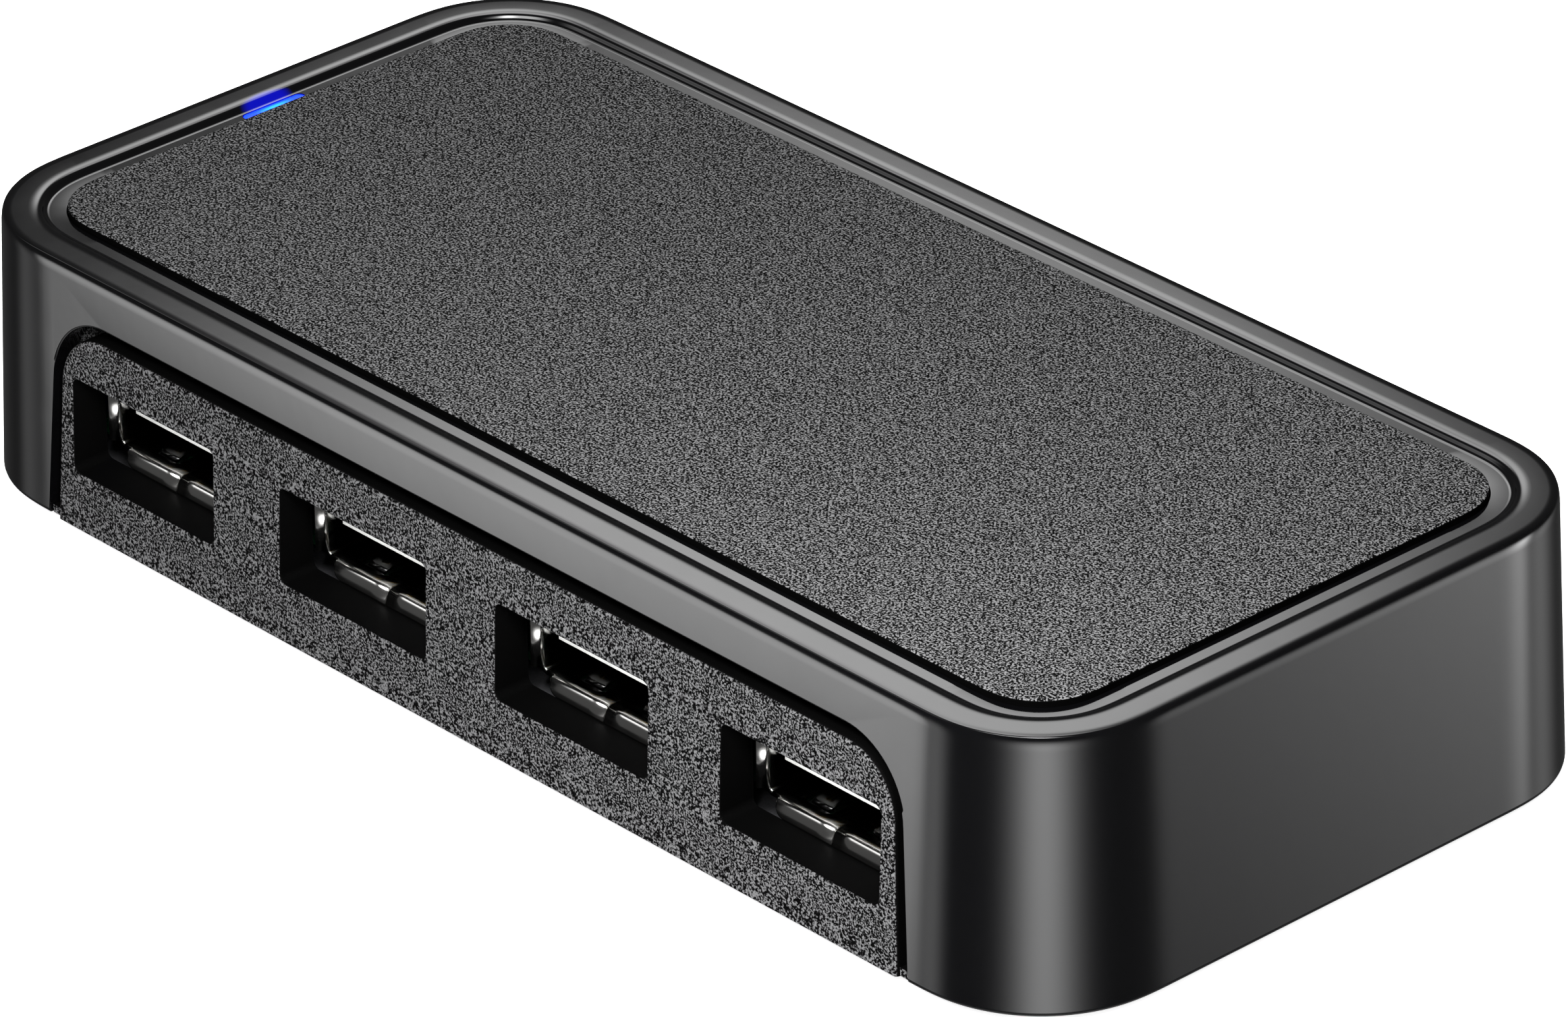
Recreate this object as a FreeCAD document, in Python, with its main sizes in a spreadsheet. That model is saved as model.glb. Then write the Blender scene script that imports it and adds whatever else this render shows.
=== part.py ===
"""Four-port desktop USB hub, modelled as the pieces it comes apart into on a bench.

Millimetres, +Z up, X along the front, Y towards the back.
The origin is on the surface that the feet stand on, under the middle of the case.
"""

import FreeCAD, Part
import os
import Sketcher

DIMENSIONS = {
    # case
    "case_length": 100.3,
    "case_width": 49.35,
    "case_height": 18.04,
    "case_corner": 9.44,
    "case_lean": 0.768,
    "case_wall": 1.8,
    "ceiling_level": 15.1,
    "top_edge_round": 0.45,
    "bottom_edge_round": 0.35,
    # stepped frame round the top insert
    "upper_rim": 2.45,
    "rim_step": 0.35,
    "rim_slope": 0.27,
    "rim_edge_round": 0.22,
    "lower_rim": 1.7,
    "insert_pocket": 1.07,
    "insert_proud": 0.41,
    "insert_gap": 0.05,
    "insert_edge_round": 0.12,
    "adhesive_thickness": 0.1,
    # opening for the front panel
    "notch_top_half": 38.74,
    "notch_flare": 0.72,
    "notch_height": 14.7,
    "notch_corner": 5.1,
    "notch_edge_round": 0.15,
    "opening_edge_round": 0.2,
    "panel_gap": 0.95,
    "panel_edge_round": 0.3,
    "panel_back": 22.15,
    "flange_thickness": 0.4,
    "flange_margin": 1.7,
    "flange_top": 14.95,
    "sill_height": 0.55,
    "port_pitch": 20,
    "port_opening_width": 13.63,
    "port_opening_bottom": 3.96,
    "port_opening_height": 6.44,
    "port_opening_corner": 0.5,
    "port_opening_edge_round": 0.15,
    # base
    "foot_height": 0.6,
    "foot_recess": 0.4,
    "foot_radius": 4,
    "foot_across": 41,
    "foot_along": 16.3,
    "base_thickness": 2,
    "base_gap": 0.15,
    "base_lip_thickness": 1.2,
    "base_lip_height": 3,
    "boss_across": 41.5,
    "boss_radius": 2.6,
    "screw_radius": 1.15,
    "screw_length": 8,
    "screw_head_radius": 2.1,
    "screw_head_height": 1.2,
    "driver_recess_radius": 0.9,
    "driver_recess_depth": 0.7,
    # circuit board
    "board_underside": 2.85,
    "board_thickness": 1.6,
    "board_half_length": 46.6,
    "board_front": 18.6,
    "board_back": 21.3,
    "board_corner": 5.6,
    "post_radius": 2.4,
    "post_across": 22,
    "post_along": 3,
    "board_screw_radius": 0.9,
    "board_screw_length": 3,
    "board_screw_head_radius": 1.8,
    "board_screw_head_height": 1.1,
    # type A receptacle
    "socket_mouth": 21.54,
    "socket_floor": 4.75,
    "socket_inner_width": 12.5,
    "socket_inner_height": 5.12,
    "socket_sheet": 0.3,
    "socket_bend": 0.5,
    "socket_depth": 14,
    "lip_depth": 0.32,
    "lip_spread": 0.77,
    "lip_width": 10,
    "side_lip_spread": 0.37,
    "side_lip_bottom": 0.5,
    "side_lip_top": 4.6,
    "socket_seam": 0.12,
    "finger_across": 2.6,
    "finger_width": 1.7,
    "finger_tip": 1.35,
    "finger_root": 7.6,
    "finger_slit": 0.35,
    "finger_rise": 0.45,
    "ground_tab_width": 2,
    "ground_tab_from": 6,
    "ground_tab_length": 2.6,
    "tongue_width": 11.1,
    "tongue_thickness": 1.84,
    "tongue_level": 2.2,
    "tongue_tip": 1.18,
    "tongue_root": 9.4,
    "socket_block_back": 13.7,
    "socket_block_gap": 0.04,
    "contact_width": 1,
    "contact_sheet": 0.25,
    "contact_front": 1.95,
    "contact_inner": 1,
    "contact_outer": 3.5,
    "contact_tail": 12.6,
    "contact_tail_width": 0.6,
    "contact_tail_length": 4.6,
    # upstream mini B receptacle
    "mini_across": -9,
    "mini_mouth": 24.1,
    "mini_depth": 9.2,
    "mini_top_width": 7.5,
    "mini_bottom_width": 6.1,
    "mini_height": 3.7,
    "mini_shoulder": 1.6,
    "mini_sheet": 0.3,
    "mini_tongue_width": 4.4,
    "mini_tongue_thickness": 0.8,
    "mini_tongue_tip": 1.2,
    "mini_block_front": 6.4,
    "mini_pitch": 0.8,
    "mini_contact_width": 0.35,
    "mini_contact_sheet": 0.15,
    "mini_opening_gap": 0.45,
    # power inlet
    "jack_across": 12,
    "jack_width": 7,
    "jack_height": 6.6,
    "jack_length": 9.2,
    "jack_nose_radius": 3.1,
    "jack_nose_length": 2.1,
    "jack_bore_radius": 2.05,
    "jack_bore_depth": 9.4,
    "jack_pin_radius": 0.65,
    "jack_pin_length": 8.6,
    "jack_axis_height": 3.3,
    "jack_spring_width": 1.5,
    "jack_spring_sheet": 0.3,
    "jack_spring_rise": 0.06,
    "jack_opening_gap": 0.25,
    # status light
    "light_across": 45.9,
    "light_along": 0.1,
    "light_length": 4.9,
    "light_width": 0.86,
    "light_gap": 0.04,
    "light_relief": 0.5,
    "led_length": 3.2,
    "led_width": 1.3,
    "led_height": 0.9,
    # parts on the board
    "controller_across": -2,
    "controller_along": 8.5,
    "controller_side": 7,
    "controller_height": 1.2,
    "controller_lead_reach": 1,
    "controller_lead_pitch": 0.8,
    "controller_lead_width": 0.3,
    "controller_lead_sheet": 0.2,
    "controller_standoff": 0.1,
    "crystal_across": -20,
    "crystal_along": 15.5,
    "crystal_length": 10.8,
    "crystal_width": 4.4,
    "crystal_height": 3.4,
    "capacitor_radius": 3.1,
    "capacitor_height": 5.6,
    "capacitor_base": 6.5,
    "capacitor_base_height": 0.6,
    "capacitor_along": -2.6,
    "fuse_length": 4.5,
    "fuse_width": 3.2,
    "fuse_height": 0.7,
    "fuse_shift": 7,
    "chip_part_length": 1.6,
    "chip_part_width": 0.8,
    "chip_part_height": 0.5,
    "chip_part_pitch": 2.6,
}

SHEET = "Dimensions"
PORTS = (1, 2, 3, 4)
CONTACT_SIDES = (-1, 1)
LEADS_PER_SIDE = 7
MINI_CONTACTS = 5
CHIP_PARTS = 6
TOLERANCE = 1e-3


class Size:
    """A length as a number, for drawing, and as an expression on the sheet, for driving the model."""

    def __init__(self, value, text):
        self.value = value
        self.text = text

    def _join(self, sign, other, value):
        text = other.text if isinstance(other, Size) else str(other)
        return Size(value, f"({self.text} {sign} {text})")

    def __add__(self, other):
        return self._join("+", other, self.value + number(other))

    def __sub__(self, other):
        return self._join("-", other, self.value - number(other))

    def __mul__(self, other):
        return self._join("*", other, self.value * number(other))

    def __truediv__(self, other):
        return self._join("/", other, self.value / number(other))

    def __neg__(self):
        return Size(-self.value, f"(-1 * {self.text})")


def number(length):
    """The plain number in a Size or a number."""
    return length.value if isinstance(length, Size) else float(length)


def size(alias):
    """The driving dimension with this alias."""
    return Size(DIMENSIONS[alias], f"{SHEET}.{alias}")


def fixed(value):
    """A plain number as a Size."""
    return Size(float(value), str(float(value)))


NONE = fixed(0)


def make_sheet(doc):
    """Writes every driving dimension into the sheet under its own alias."""
    sheet = doc.addObject("Spreadsheet::Sheet", SHEET)
    for row, (alias, value) in enumerate(DIMENSIONS.items(), start=1):
        sheet.set(f"A{row}", alias.replace("_", " "))
        sheet.set(f"B{row}", str(value))
        sheet.setAlias(f"B{row}", alias)
    doc.recompute()
    return sheet


# ---------------------------------------------------------------- drawing helpers


def new_body(doc, label):
    """An empty body whose Label names its sub-part."""
    body = doc.addObject("PartDesign::Body", label)
    body.Label = label
    return body


def place(item, across=NONE, along=NONE, up=NONE):
    """Puts an object where the sheet says."""
    for axis, length in zip("xyz", (across, along, up)):
        if number(length) != 0:
            item.setExpression(f"Placement.Base.{axis}", length.text)


def new_sketch(body, role, name, offset=None):
    """A sketch on one of the body's own origin planes, shifted along the plane's normal."""
    sketch = body.newObject("Sketcher::SketchObject", name)
    support = next(f for f in body.Origin.OriginFeatures if f.Role == role)
    sketch.AttachmentSupport = (support, [""])
    sketch.MapMode = "FlatFace"
    if offset is not None:
        sketch.setExpression("AttachmentOffset.Base.z", offset.text)
    return sketch


def drive(sketch, kind, refs, length):
    """Adds one dimension to a sketch and ties it to the sheet."""
    index = sketch.addConstraint(Sketcher.Constraint(kind, *refs, number(length)))
    sketch.renameConstraint(index, f"{kind}{index}")
    sketch.setExpression(f"Constraints.{kind}{index}", length.text)


def pin_point(sketch, geometry, vertex, x, y):
    """Fixes a vertex at x, y from the sketch's origin."""
    for kind, axis, length in (("DistanceX", -2, x), ("DistanceY", -1, y)):
        if number(length) == 0:
            sketch.addConstraint(Sketcher.Constraint("PointOnObject", geometry, vertex, axis))
        else:
            drive(sketch, kind, (-1, 1, geometry, vertex), length)


def polygon(sketch, points):
    """A closed outline through the points, each held by the sheet."""
    corners = [FreeCAD.Vector(number(x), number(y), 0) for x, y in points]
    ends = corners[1:] + corners[:1]
    lines = [sketch.addGeometry(Part.LineSegment(a, b)) for a, b in zip(corners, ends)]
    for line, following in zip(lines, lines[1:] + lines[:1]):
        sketch.addConstraint(Sketcher.Constraint("Coincident", line, 2, following, 1))
    for line, (x, y) in zip(lines, points):
        pin_point(sketch, line, 1, x, y)


def rectangle(sketch, left, right, bottom, top):
    polygon(sketch, [(left, bottom), (right, bottom), (right, top), (left, top)])


def circle(sketch, x, y, radius):
    centre = FreeCAD.Vector(number(x), number(y), 0)
    shape = Part.Circle(centre, FreeCAD.Vector(0, 0, 1), number(radius))
    index = sketch.addGeometry(shape)
    drive(sketch, "Radius", (index,), radius)
    pin_point(sketch, index, 3, x, y)


def rounded_rectangle(sketch, left, right, bottom, top, radius):
    """A rectangle whose four corners are arcs of one radius."""
    x0, x1, y0, y1, r = (number(v) for v in (left, right, bottom, top, radius))
    vector = FreeCAD.Vector
    straight = [
        (vector(x0 + r, y0, 0), vector(x1 - r, y0, 0)),
        (vector(x1, y0 + r, 0), vector(x1, y1 - r, 0)),
        (vector(x1 - r, y1, 0), vector(x0 + r, y1, 0)),
        (vector(x0, y1 - r, 0), vector(x0, y0 + r, 0)),
    ]
    centres = [(x1 - r, y0 + r), (x1 - r, y1 - r), (x0 + r, y1 - r), (x0 + r, y0 + r)]
    quarter = 1.5707963267948966
    lines, arcs = [], []
    for turn, (ends, (cx, cy)) in enumerate(zip(straight, centres)):
        lines.append(sketch.addGeometry(Part.LineSegment(*ends)))
        round_part = Part.Circle(vector(cx, cy, 0), vector(0, 0, 1), r)
        arc = Part.ArcOfCircle(round_part, (turn - 1) * quarter, turn * quarter)
        arcs.append(sketch.addGeometry(arc))
    for line, arc, following in zip(lines, arcs, lines[1:] + lines[:1]):
        sketch.addConstraint(Sketcher.Constraint("Tangent", line, 2, arc, 1))
        sketch.addConstraint(Sketcher.Constraint("Tangent", arc, 2, following, 1))
    for arc in arcs[1:]:
        sketch.addConstraint(Sketcher.Constraint("Equal", arcs[0], arc))
    sketch.addConstraint(Sketcher.Constraint("Horizontal", lines[0]))
    sketch.addConstraint(Sketcher.Constraint("Vertical", lines[1]))
    drive(sketch, "Radius", (arcs[0],), radius)
    drive(sketch, "DistanceY", (-1, 1, lines[0], 1), bottom)
    drive(sketch, "DistanceX", (-1, 1, lines[1], 1), right)
    drive(sketch, "DistanceY", (-1, 1, lines[2], 1), top)
    drive(sketch, "DistanceX", (-1, 1, lines[3], 1), left)


def centred(sketch, half_x, half_y, radius):
    rounded_rectangle(sketch, -half_x, half_x, -half_y, half_y, radius)


def pad(body, sketch, length, backwards=False, lean=None):
    """Adds material along the sketch's normal, or against it, and moves the body's tip there."""
    feature = body.newObject("PartDesign::Pad", f"Pad_{sketch.Name}")
    feature.Profile = sketch
    feature.Reversed = backwards
    feature.setExpression("Length", length.text)
    if lean is not None:
        feature.setExpression("TaperAngle", lean)
    body.Document.recompute()
    return feature


def pocket(body, sketch, depth=None, backwards=False, lean=None, symmetric=False):
    """Takes material away, and stops if nothing was taken."""
    before = body.Shape.Volume
    feature = body.newObject("PartDesign::Pocket", f"Pocket_{sketch.Name}")
    feature.Profile = sketch
    feature.Reversed = backwards
    feature.Midplane = symmetric
    if depth is None:
        feature.Type = "ThroughAll"
    else:
        feature.setExpression("Length", depth.text)
    if lean is not None:
        feature.setExpression("TaperAngle", lean)
    body.Document.recompute()
    if body.Shape.Volume > before - TOLERANCE:
        raise ValueError(f"{sketch.Label} took nothing from {body.Label}")
    return feature


def edges_where(shape, test):
    """The names of the edges whose bounding box passes the test."""
    return [f"Edge{i}" for i, edge in enumerate(shape.Edges, start=1) if test(edge.BoundBox)]


def round_edges(body, name, radius, test):
    """Rounds the edges that pass the test, which sees the body in its own coordinates."""
    last = body.Tip
    names = edges_where(last.Shape, test)
    if not names:
        raise ValueError(f"{name} found no edges on {body.Label}")
    feature = body.newObject("PartDesign::Fillet", name)
    feature.Base = (last, names)
    feature.setExpression("Radius", radius.text)
    body.Document.recompute()
    return feature


def box(doc, name, left, right, front, back, bottom, top):
    """A block between three pairs of planes."""
    item = doc.addObject("Part::Box", name)
    for side, low, high in (("Length", left, right), ("Width", front, back), ("Height", bottom, top)):
        item.setExpression(side, (high - low).text)
    place(item, left, front, bottom)
    return item


def cylinder(doc, name, x, y, bottom, radius, height):
    item = doc.addObject("Part::Cylinder", name)
    item.setExpression("Radius", radius.text)
    item.setExpression("Height", height.text)
    place(item, x, y, bottom)
    return item


def joined(doc, label, items):
    item = doc.addObject("Part::MultiFuse", label)
    item.Shapes = items
    return item


def group(doc, label, items):
    """Separate solids that share one node."""
    item = doc.addObject("Part::Compound", label)
    item.Links = items
    item.Label = label
    return item


def cut(doc, label, base, tool):
    item = doc.addObject("Part::Cut", label)
    item.Base = base
    item.Tool = tool
    item.Label = label
    return item


# ---------------------------------------------------------------- lengths used in several places

FLOOR = size("foot_height")
HALF_LENGTH = size("case_length") / 2
HALF_WIDTH = size("case_width") / 2
CASE_TOP = size("case_height")
LEAN = f"atan({SHEET}.case_lean / {SHEET}.case_height)"
UNLEAN = f"-1 * atan({SHEET}.case_lean / {SHEET}.case_height)"
TOP_HALF_LENGTH = HALF_LENGTH - size("case_lean")
TOP_HALF_WIDTH = HALF_WIDTH - size("case_lean")
TOP_CORNER = size("case_corner") - size("case_lean")
STEP_LEVEL = CASE_TOP - size("rim_step")
POCKET_LEVEL = STEP_LEVEL - size("insert_pocket")
INSERT_INSET = size("upper_rim") + size("lower_rim")
BOARD_TOP = FLOOR + size("board_underside") + size("board_thickness")
SOCKET_FLOOR = FLOOR + size("socket_floor")
PORT_HALF = size("port_opening_width") / 2
SOCKET_HALF = size("socket_inner_width") / 2


def port_across(port):
    """Where a port's middle is along the front."""
    return size("port_pitch") * (port - 2.5)


# ---------------------------------------------------------------- case


def make_top_shell(doc):
    """Gloss cover: leaning walls, stepped rim, pocket for the insert, notch for the front panel."""
    body = new_body(doc, "top_shell")
    place(body, up=FLOOR)
    outer = new_sketch(body, "XY_Plane", "shell_outline")
    centred(outer, HALF_LENGTH, HALF_WIDTH, size("case_corner"))
    pad(body, outer, CASE_TOP, lean=UNLEAN)
    round_edges(body, "bottom_edge", size("bottom_edge_round"), lambda b: b.ZMax < 0.01)
    wall = size("case_wall")
    inner = new_sketch(body, "XY_Plane", "shell_cavity")
    centred(inner, HALF_LENGTH - wall, HALF_WIDTH - wall, size("case_corner") - wall)
    pocket(body, inner, size("ceiling_level"), backwards=True, lean=UNLEAN)

    rim = size("upper_rim")
    step = new_sketch(body, "XY_Plane", "rim_step_outline", STEP_LEVEL)
    foot = rim + size("rim_slope")
    centred(step, TOP_HALF_LENGTH - foot, TOP_HALF_WIDTH - foot, TOP_CORNER - foot)
    slope = f"atan({SHEET}.rim_slope / {SHEET}.rim_step)"
    pocket(body, step, size("rim_step"), backwards=True, lean=slope)
    inset = INSERT_INSET - size("insert_gap")
    recess = new_sketch(body, "XY_Plane", "insert_pocket_outline", POCKET_LEVEL)
    centred(recess, TOP_HALF_LENGTH - inset, TOP_HALF_WIDTH - inset, TOP_CORNER - inset)
    pocket(body, recess, size("insert_pocket") * 2, backwards=True)

    notch = new_sketch(body, "XZ_Plane", "notch_outline", HALF_WIDTH / 2)
    half, flare, top = size("notch_top_half"), size("notch_flare"), size("notch_height")
    low = half + flare * 2
    polygon(notch, [(-low, -top), (low, -top), (half, top), (-half, top)])
    pocket(body, notch, HALF_WIDTH, backwards=True)
    level = number(top)
    round_edges(
        body, "notch_corners", size("notch_corner"),
        lambda b: b.YLength > 1 and b.XLength < 1 and abs(b.ZMin - level) < 0.1 and b.YMax < 0,
    )
    face = number(TOP_HALF_WIDTH) - 0.05
    round_edges(
        body, "notch_edge", size("notch_edge_round"),
        lambda b: b.YMax < -face and b.ZMin > 0.1 and b.ZMax < level + 0.1,
    )

    light = new_sketch(body, "XY_Plane", "light_slot")
    light_outline(light, size("light_gap"), size("light_relief"))
    pocket(body, light, CASE_TOP, backwards=True)
    openings = new_sketch(body, "XZ_Plane", "rear_openings", -(HALF_WIDTH / 2))
    rear_openings(openings)
    pocket(body, openings, HALF_WIDTH)
    round_edges(
        body, "rear_opening_edge", size("opening_edge_round"),
        lambda b: b.YMin > face and b.ZMin > 1 and b.ZMax < level,
    )

    bosses = new_sketch(body, "XY_Plane", "boss_outlines", size("base_thickness"))
    for side in CONTACT_SIDES:
        circle(bosses, size("boss_across") * side, NONE, size("boss_radius"))
    pad(body, bosses, size("ceiling_level") - size("base_thickness"))
    bores = new_sketch(body, "XY_Plane", "boss_bores", size("base_thickness"))
    for side in CONTACT_SIDES:
        circle(bores, size("boss_across") * side, NONE, size("screw_radius"))
    pocket(body, bores, size("screw_length"), backwards=True)

    top_level = number(CASE_TOP)
    inside = number(TOP_HALF_LENGTH - rim) + 0.1
    round_edges(
        body, "rim_edge", size("rim_edge_round"),
        lambda b: b.ZMin > top_level - 0.01 and max(abs(b.XMin), abs(b.XMax)) < inside
        and max(abs(b.YMin), abs(b.YMax)) < number(TOP_HALF_WIDTH - rim) + 0.1,
    )
    round_edges(
        body, "top_edge", size("top_edge_round"),
        lambda b: b.ZMin > top_level - 0.01
        and max(abs(b.XMin), abs(b.XMax), abs(b.YMin) * 2, abs(b.YMax) * 2) > inside,
    )
    return body


def light_outline(sketch, gap, relief=NONE):
    """Round-ended outline of the status light, grown by a gap and, towards the insert, by a relief."""
    half_width = size("light_width") / 2 + gap
    half_length = size("light_length") / 2 + gap
    across, along = -size("light_across"), size("light_along")
    rounded_rectangle(
        sketch, across - half_width, across + half_width + relief,
        along - half_length, along + half_length, half_width * 0.94,
    )


def rear_openings(sketch):
    """Outlines of the upstream socket's and the power inlet's openings, on the XZ plane."""
    gap = size("mini_opening_gap")
    bottom = BOARD_TOP - FLOOR
    half = size("mini_top_width") / 2 + gap
    middle = size("mini_across")
    rounded_rectangle(
        sketch, middle - half, middle + half,
        bottom - gap, bottom + size("mini_height") + gap, gap + 0.2,
    )
    radius = size("jack_nose_radius") + size("jack_opening_gap")
    circle(sketch, size("jack_across"), bottom + size("jack_axis_height"), radius)


def make_top_insert(doc):
    """Textured plate that stands just proud of the lower rim."""
    body = new_body(doc, "top_inlay")
    base = POCKET_LEVEL + size("adhesive_thickness")
    place(body, up=FLOOR + base)
    outline = new_sketch(body, "XY_Plane", "insert_outline")
    inset = INSERT_INSET
    centred(outline, TOP_HALF_LENGTH - inset, TOP_HALF_WIDTH - inset, TOP_CORNER - inset)
    thickness = size("insert_pocket") - size("adhesive_thickness") + size("insert_proud")
    pad(body, outline, thickness)
    top = number(thickness)
    round_edges(body, "insert_edge", size("insert_edge_round"), lambda b: b.ZMin > top - 0.01)
    return body


def make_adhesive(doc):
    """Thin bonding sheet between the insert and the shell's pocket."""
    body = new_body(doc, "inlay_adhesive")
    place(body, up=FLOOR + POCKET_LEVEL)
    outline = new_sketch(body, "XY_Plane", "adhesive_outline")
    inset = INSERT_INSET + 1
    centred(outline, TOP_HALF_LENGTH - inset, TOP_HALF_WIDTH - inset, TOP_CORNER - inset)
    pad(body, outline, size("adhesive_thickness"))
    return body


def make_front_panel(doc):
    """Textured panel with four socket openings, a sill below it and a flange behind the notch."""
    body = new_body(doc, "front_panel")
    place(body, up=FLOOR)
    gap = size("panel_gap")
    half = size("notch_top_half") - gap
    top = size("notch_height") - gap
    spread = size("notch_flare")
    back = size("panel_back")
    face = new_sketch(body, "XZ_Plane", "panel_outline", back)
    polygon(face, [(-half - spread, NONE), (half + spread, NONE), (half, top), (-half, top)])
    pad(body, face, HALF_WIDTH - back)
    level = number(top)
    round_edges(
        body, "panel_corners", size("notch_corner") - gap,
        lambda b: b.YLength > 1 and b.XLength < 1 and abs(b.ZMin - level) < 0.1,
    )
    lean = new_sketch(body, "YZ_Plane", "panel_lean")
    lean_at_top = size("case_lean") * 2
    peak = CASE_TOP * 2
    polygon(lean, [(-HALF_WIDTH, NONE), (lean_at_top - HALF_WIDTH, peak), (-HALF_WIDTH - 5, peak)])
    pocket(body, lean, symmetric=True)
    front = number(-HALF_WIDTH)
    round_edges(
        body, "panel_edge", size("panel_edge_round"),
        lambda b: b.YMax < front + 0.75 and not (b.ZLength < 0.01 and b.ZMax < 0.01),
    )
    sill = new_sketch(body, "XZ_Plane", "sill_outline", back)
    sill_half = size("notch_top_half") + spread - size("base_gap")
    rectangle(sill, -sill_half, sill_half, NONE, size("sill_height"))
    pad(body, sill, HALF_WIDTH - back - size("panel_edge_round"))
    flange = new_sketch(body, "XZ_Plane", "flange_outline", back)
    flange_half = size("notch_top_half") + size("flange_margin")
    rectangle(flange, -flange_half, flange_half, size("base_thickness"), size("flange_top"))
    pad(body, flange, size("flange_thickness"), backwards=True)
    windows = new_sketch(body, "XZ_Plane", "port_openings", back - size("flange_thickness") * 2)
    bottom = size("port_opening_bottom")
    for port in PORTS:
        middle = port_across(port)
        rounded_rectangle(
            windows, middle - PORT_HALF, middle + PORT_HALF,
            bottom, bottom + size("port_opening_height"), size("port_opening_corner"),
        )
    pocket(body, windows, HALF_WIDTH, backwards=True)
    low, high = number(bottom) - 0.1, number(bottom + size("port_opening_height")) + 0.1
    widest = number(port_across(PORTS[-1]) + PORT_HALF) + 0.1
    round_edges(
        body, "opening_edges", size("port_opening_edge_round"),
        lambda b: b.YMax < front + 0.75 and b.ZMin > low and b.ZMax < high and b.XMax < widest
        and b.XMin > -widest,
    )
    return body


def make_bottom_cover(doc):
    """Base plate with a locating lip, posts for the board, and seats for feet and screws."""
    body = new_body(doc, "bottom_cover")
    place(body, up=FLOOR)
    inset = size("case_wall") + size("base_gap")
    half_x, half_y = HALF_LENGTH - inset, HALF_WIDTH - inset
    corner = size("case_corner") - inset
    thickness, lip = size("base_thickness"), size("base_lip_thickness")
    plate = new_sketch(body, "XY_Plane", "base_outline")
    centred(plate, half_x, half_y, corner)
    pad(body, plate, thickness)
    wall = new_sketch(body, "XY_Plane", "lip_outline", thickness)
    centred(wall, half_x, half_y, corner)
    centred(wall, half_x - lip, half_y - lip, corner - lip)
    pad(body, wall, size("base_lip_height"), lean=UNLEAN)

    front = new_sketch(body, "XY_Plane", "panel_seat")
    seat = size("notch_top_half") + size("notch_flare") + 0.1
    rectangle(front, -seat, seat, -HALF_WIDTH, -size("panel_back"))
    pocket(body, front, thickness, backwards=True)
    clear = new_sketch(body, "XY_Plane", "panel_clearance", thickness)
    span = size("notch_top_half") + size("flange_margin") + 0.3
    rectangle(clear, -span, span, -HALF_WIDTH, -(half_y - lip * 2))
    pocket(body, clear, size("base_lip_height"), backwards=True)
    rear = new_sketch(body, "XZ_Plane", "lip_openings", -(HALF_WIDTH / 2))
    gap = size("mini_opening_gap")
    mini_half, jack_half = size("mini_top_width") / 2, size("jack_width") / 2
    for middle, half in (("mini_across", mini_half), ("jack_across", jack_half)):
        low = size("board_underside") + size("board_thickness") - gap
        rectangle(rear, size(middle) - half - gap, size(middle) + half + gap, low, CASE_TOP)
    pocket(body, rear, HALF_WIDTH)

    posts = new_sketch(body, "XY_Plane", "board_posts", thickness)
    for across in CONTACT_SIDES:
        for along in CONTACT_SIDES:
            middle = size("post_along") * along + size("post_along") * 3
            circle(posts, size("post_across") * across, middle, size("post_radius"))
    pad(body, posts, size("board_underside") - thickness)
    pilot = new_sketch(body, "XY_Plane", "post_pilots", size("board_underside"))
    for across in CONTACT_SIDES:
        circle(pilot, size("post_across") * across, size("post_along") * 4, size("board_screw_radius"))
    pocket(body, pilot, size("board_screw_length") - size("board_thickness"))

    seats = new_sketch(body, "XY_Plane", "foot_seats")
    for across in CONTACT_SIDES:
        for along in CONTACT_SIDES:
            middle_x, middle_y = size("foot_across") * across, size("foot_along") * along
            circle(seats, middle_x, middle_y, size("foot_radius") + 0.05)
    pocket(body, seats, size("foot_recess"), backwards=True)
    heads = new_sketch(body, "XY_Plane", "screw_seats")
    for side in CONTACT_SIDES:
        circle(heads, size("boss_across") * side, NONE, size("screw_head_radius") + 0.15)
    pocket(body, heads, size("screw_head_height") + 0.1, backwards=True)
    holes = new_sketch(body, "XY_Plane", "screw_holes")
    for side in CONTACT_SIDES:
        circle(holes, size("boss_across") * side, NONE, size("screw_radius") + 0.1)
    pocket(body, holes, thickness, backwards=True)
    return body


def make_feet(doc):
    """Four rubber discs in the base's seats."""
    feet = []
    for across in CONTACT_SIDES:
        for along in CONTACT_SIDES:
            disc = cylinder(
                doc, "foot_disc", size("foot_across") * across, size("foot_along") * along,
                NONE, size("foot_radius"), size("foot_height") + size("foot_recess"),
            )
            feet.append(disc)
    return group(doc, "rubber_feet", feet)


def make_screw(doc, name, x, y, seat, down, head_radius, head_height, radius, length):
    """A pan-head screw: seat is the level that its head bears on, and down says that it points down."""
    top = seat if down else seat - head_height
    head = cylinder(doc, f"{name}_head", x, y, top, head_radius, head_height)
    start = seat - length if down else seat
    shank = cylinder(doc, f"{name}_shank", x, y, start, radius, length)
    screw = joined(doc, f"{name}_blank", [head, shank])
    recess_depth = size("driver_recess_depth")
    level = seat + head_height - recess_depth if down else top
    recess = cylinder(doc, f"{name}_drive", x, y, level, size("driver_recess_radius"), recess_depth)
    return cut(doc, name, screw, recess)


def make_case_screws(doc):
    """Two screws up through the base into the shell's bosses."""
    seat = FLOOR + size("screw_head_height") + 0.1
    screws = []
    for side in CONTACT_SIDES:
        screws.append(make_screw(
            doc, "case_screw", size("boss_across") * side, NONE, seat, False,
            size("screw_head_radius"), size("screw_head_height"),
            size("screw_radius") - 0.02, size("screw_length") - 0.5,
        ))
    return group(doc, "case_screws", screws)


# ---------------------------------------------------------------- circuit board


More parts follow.
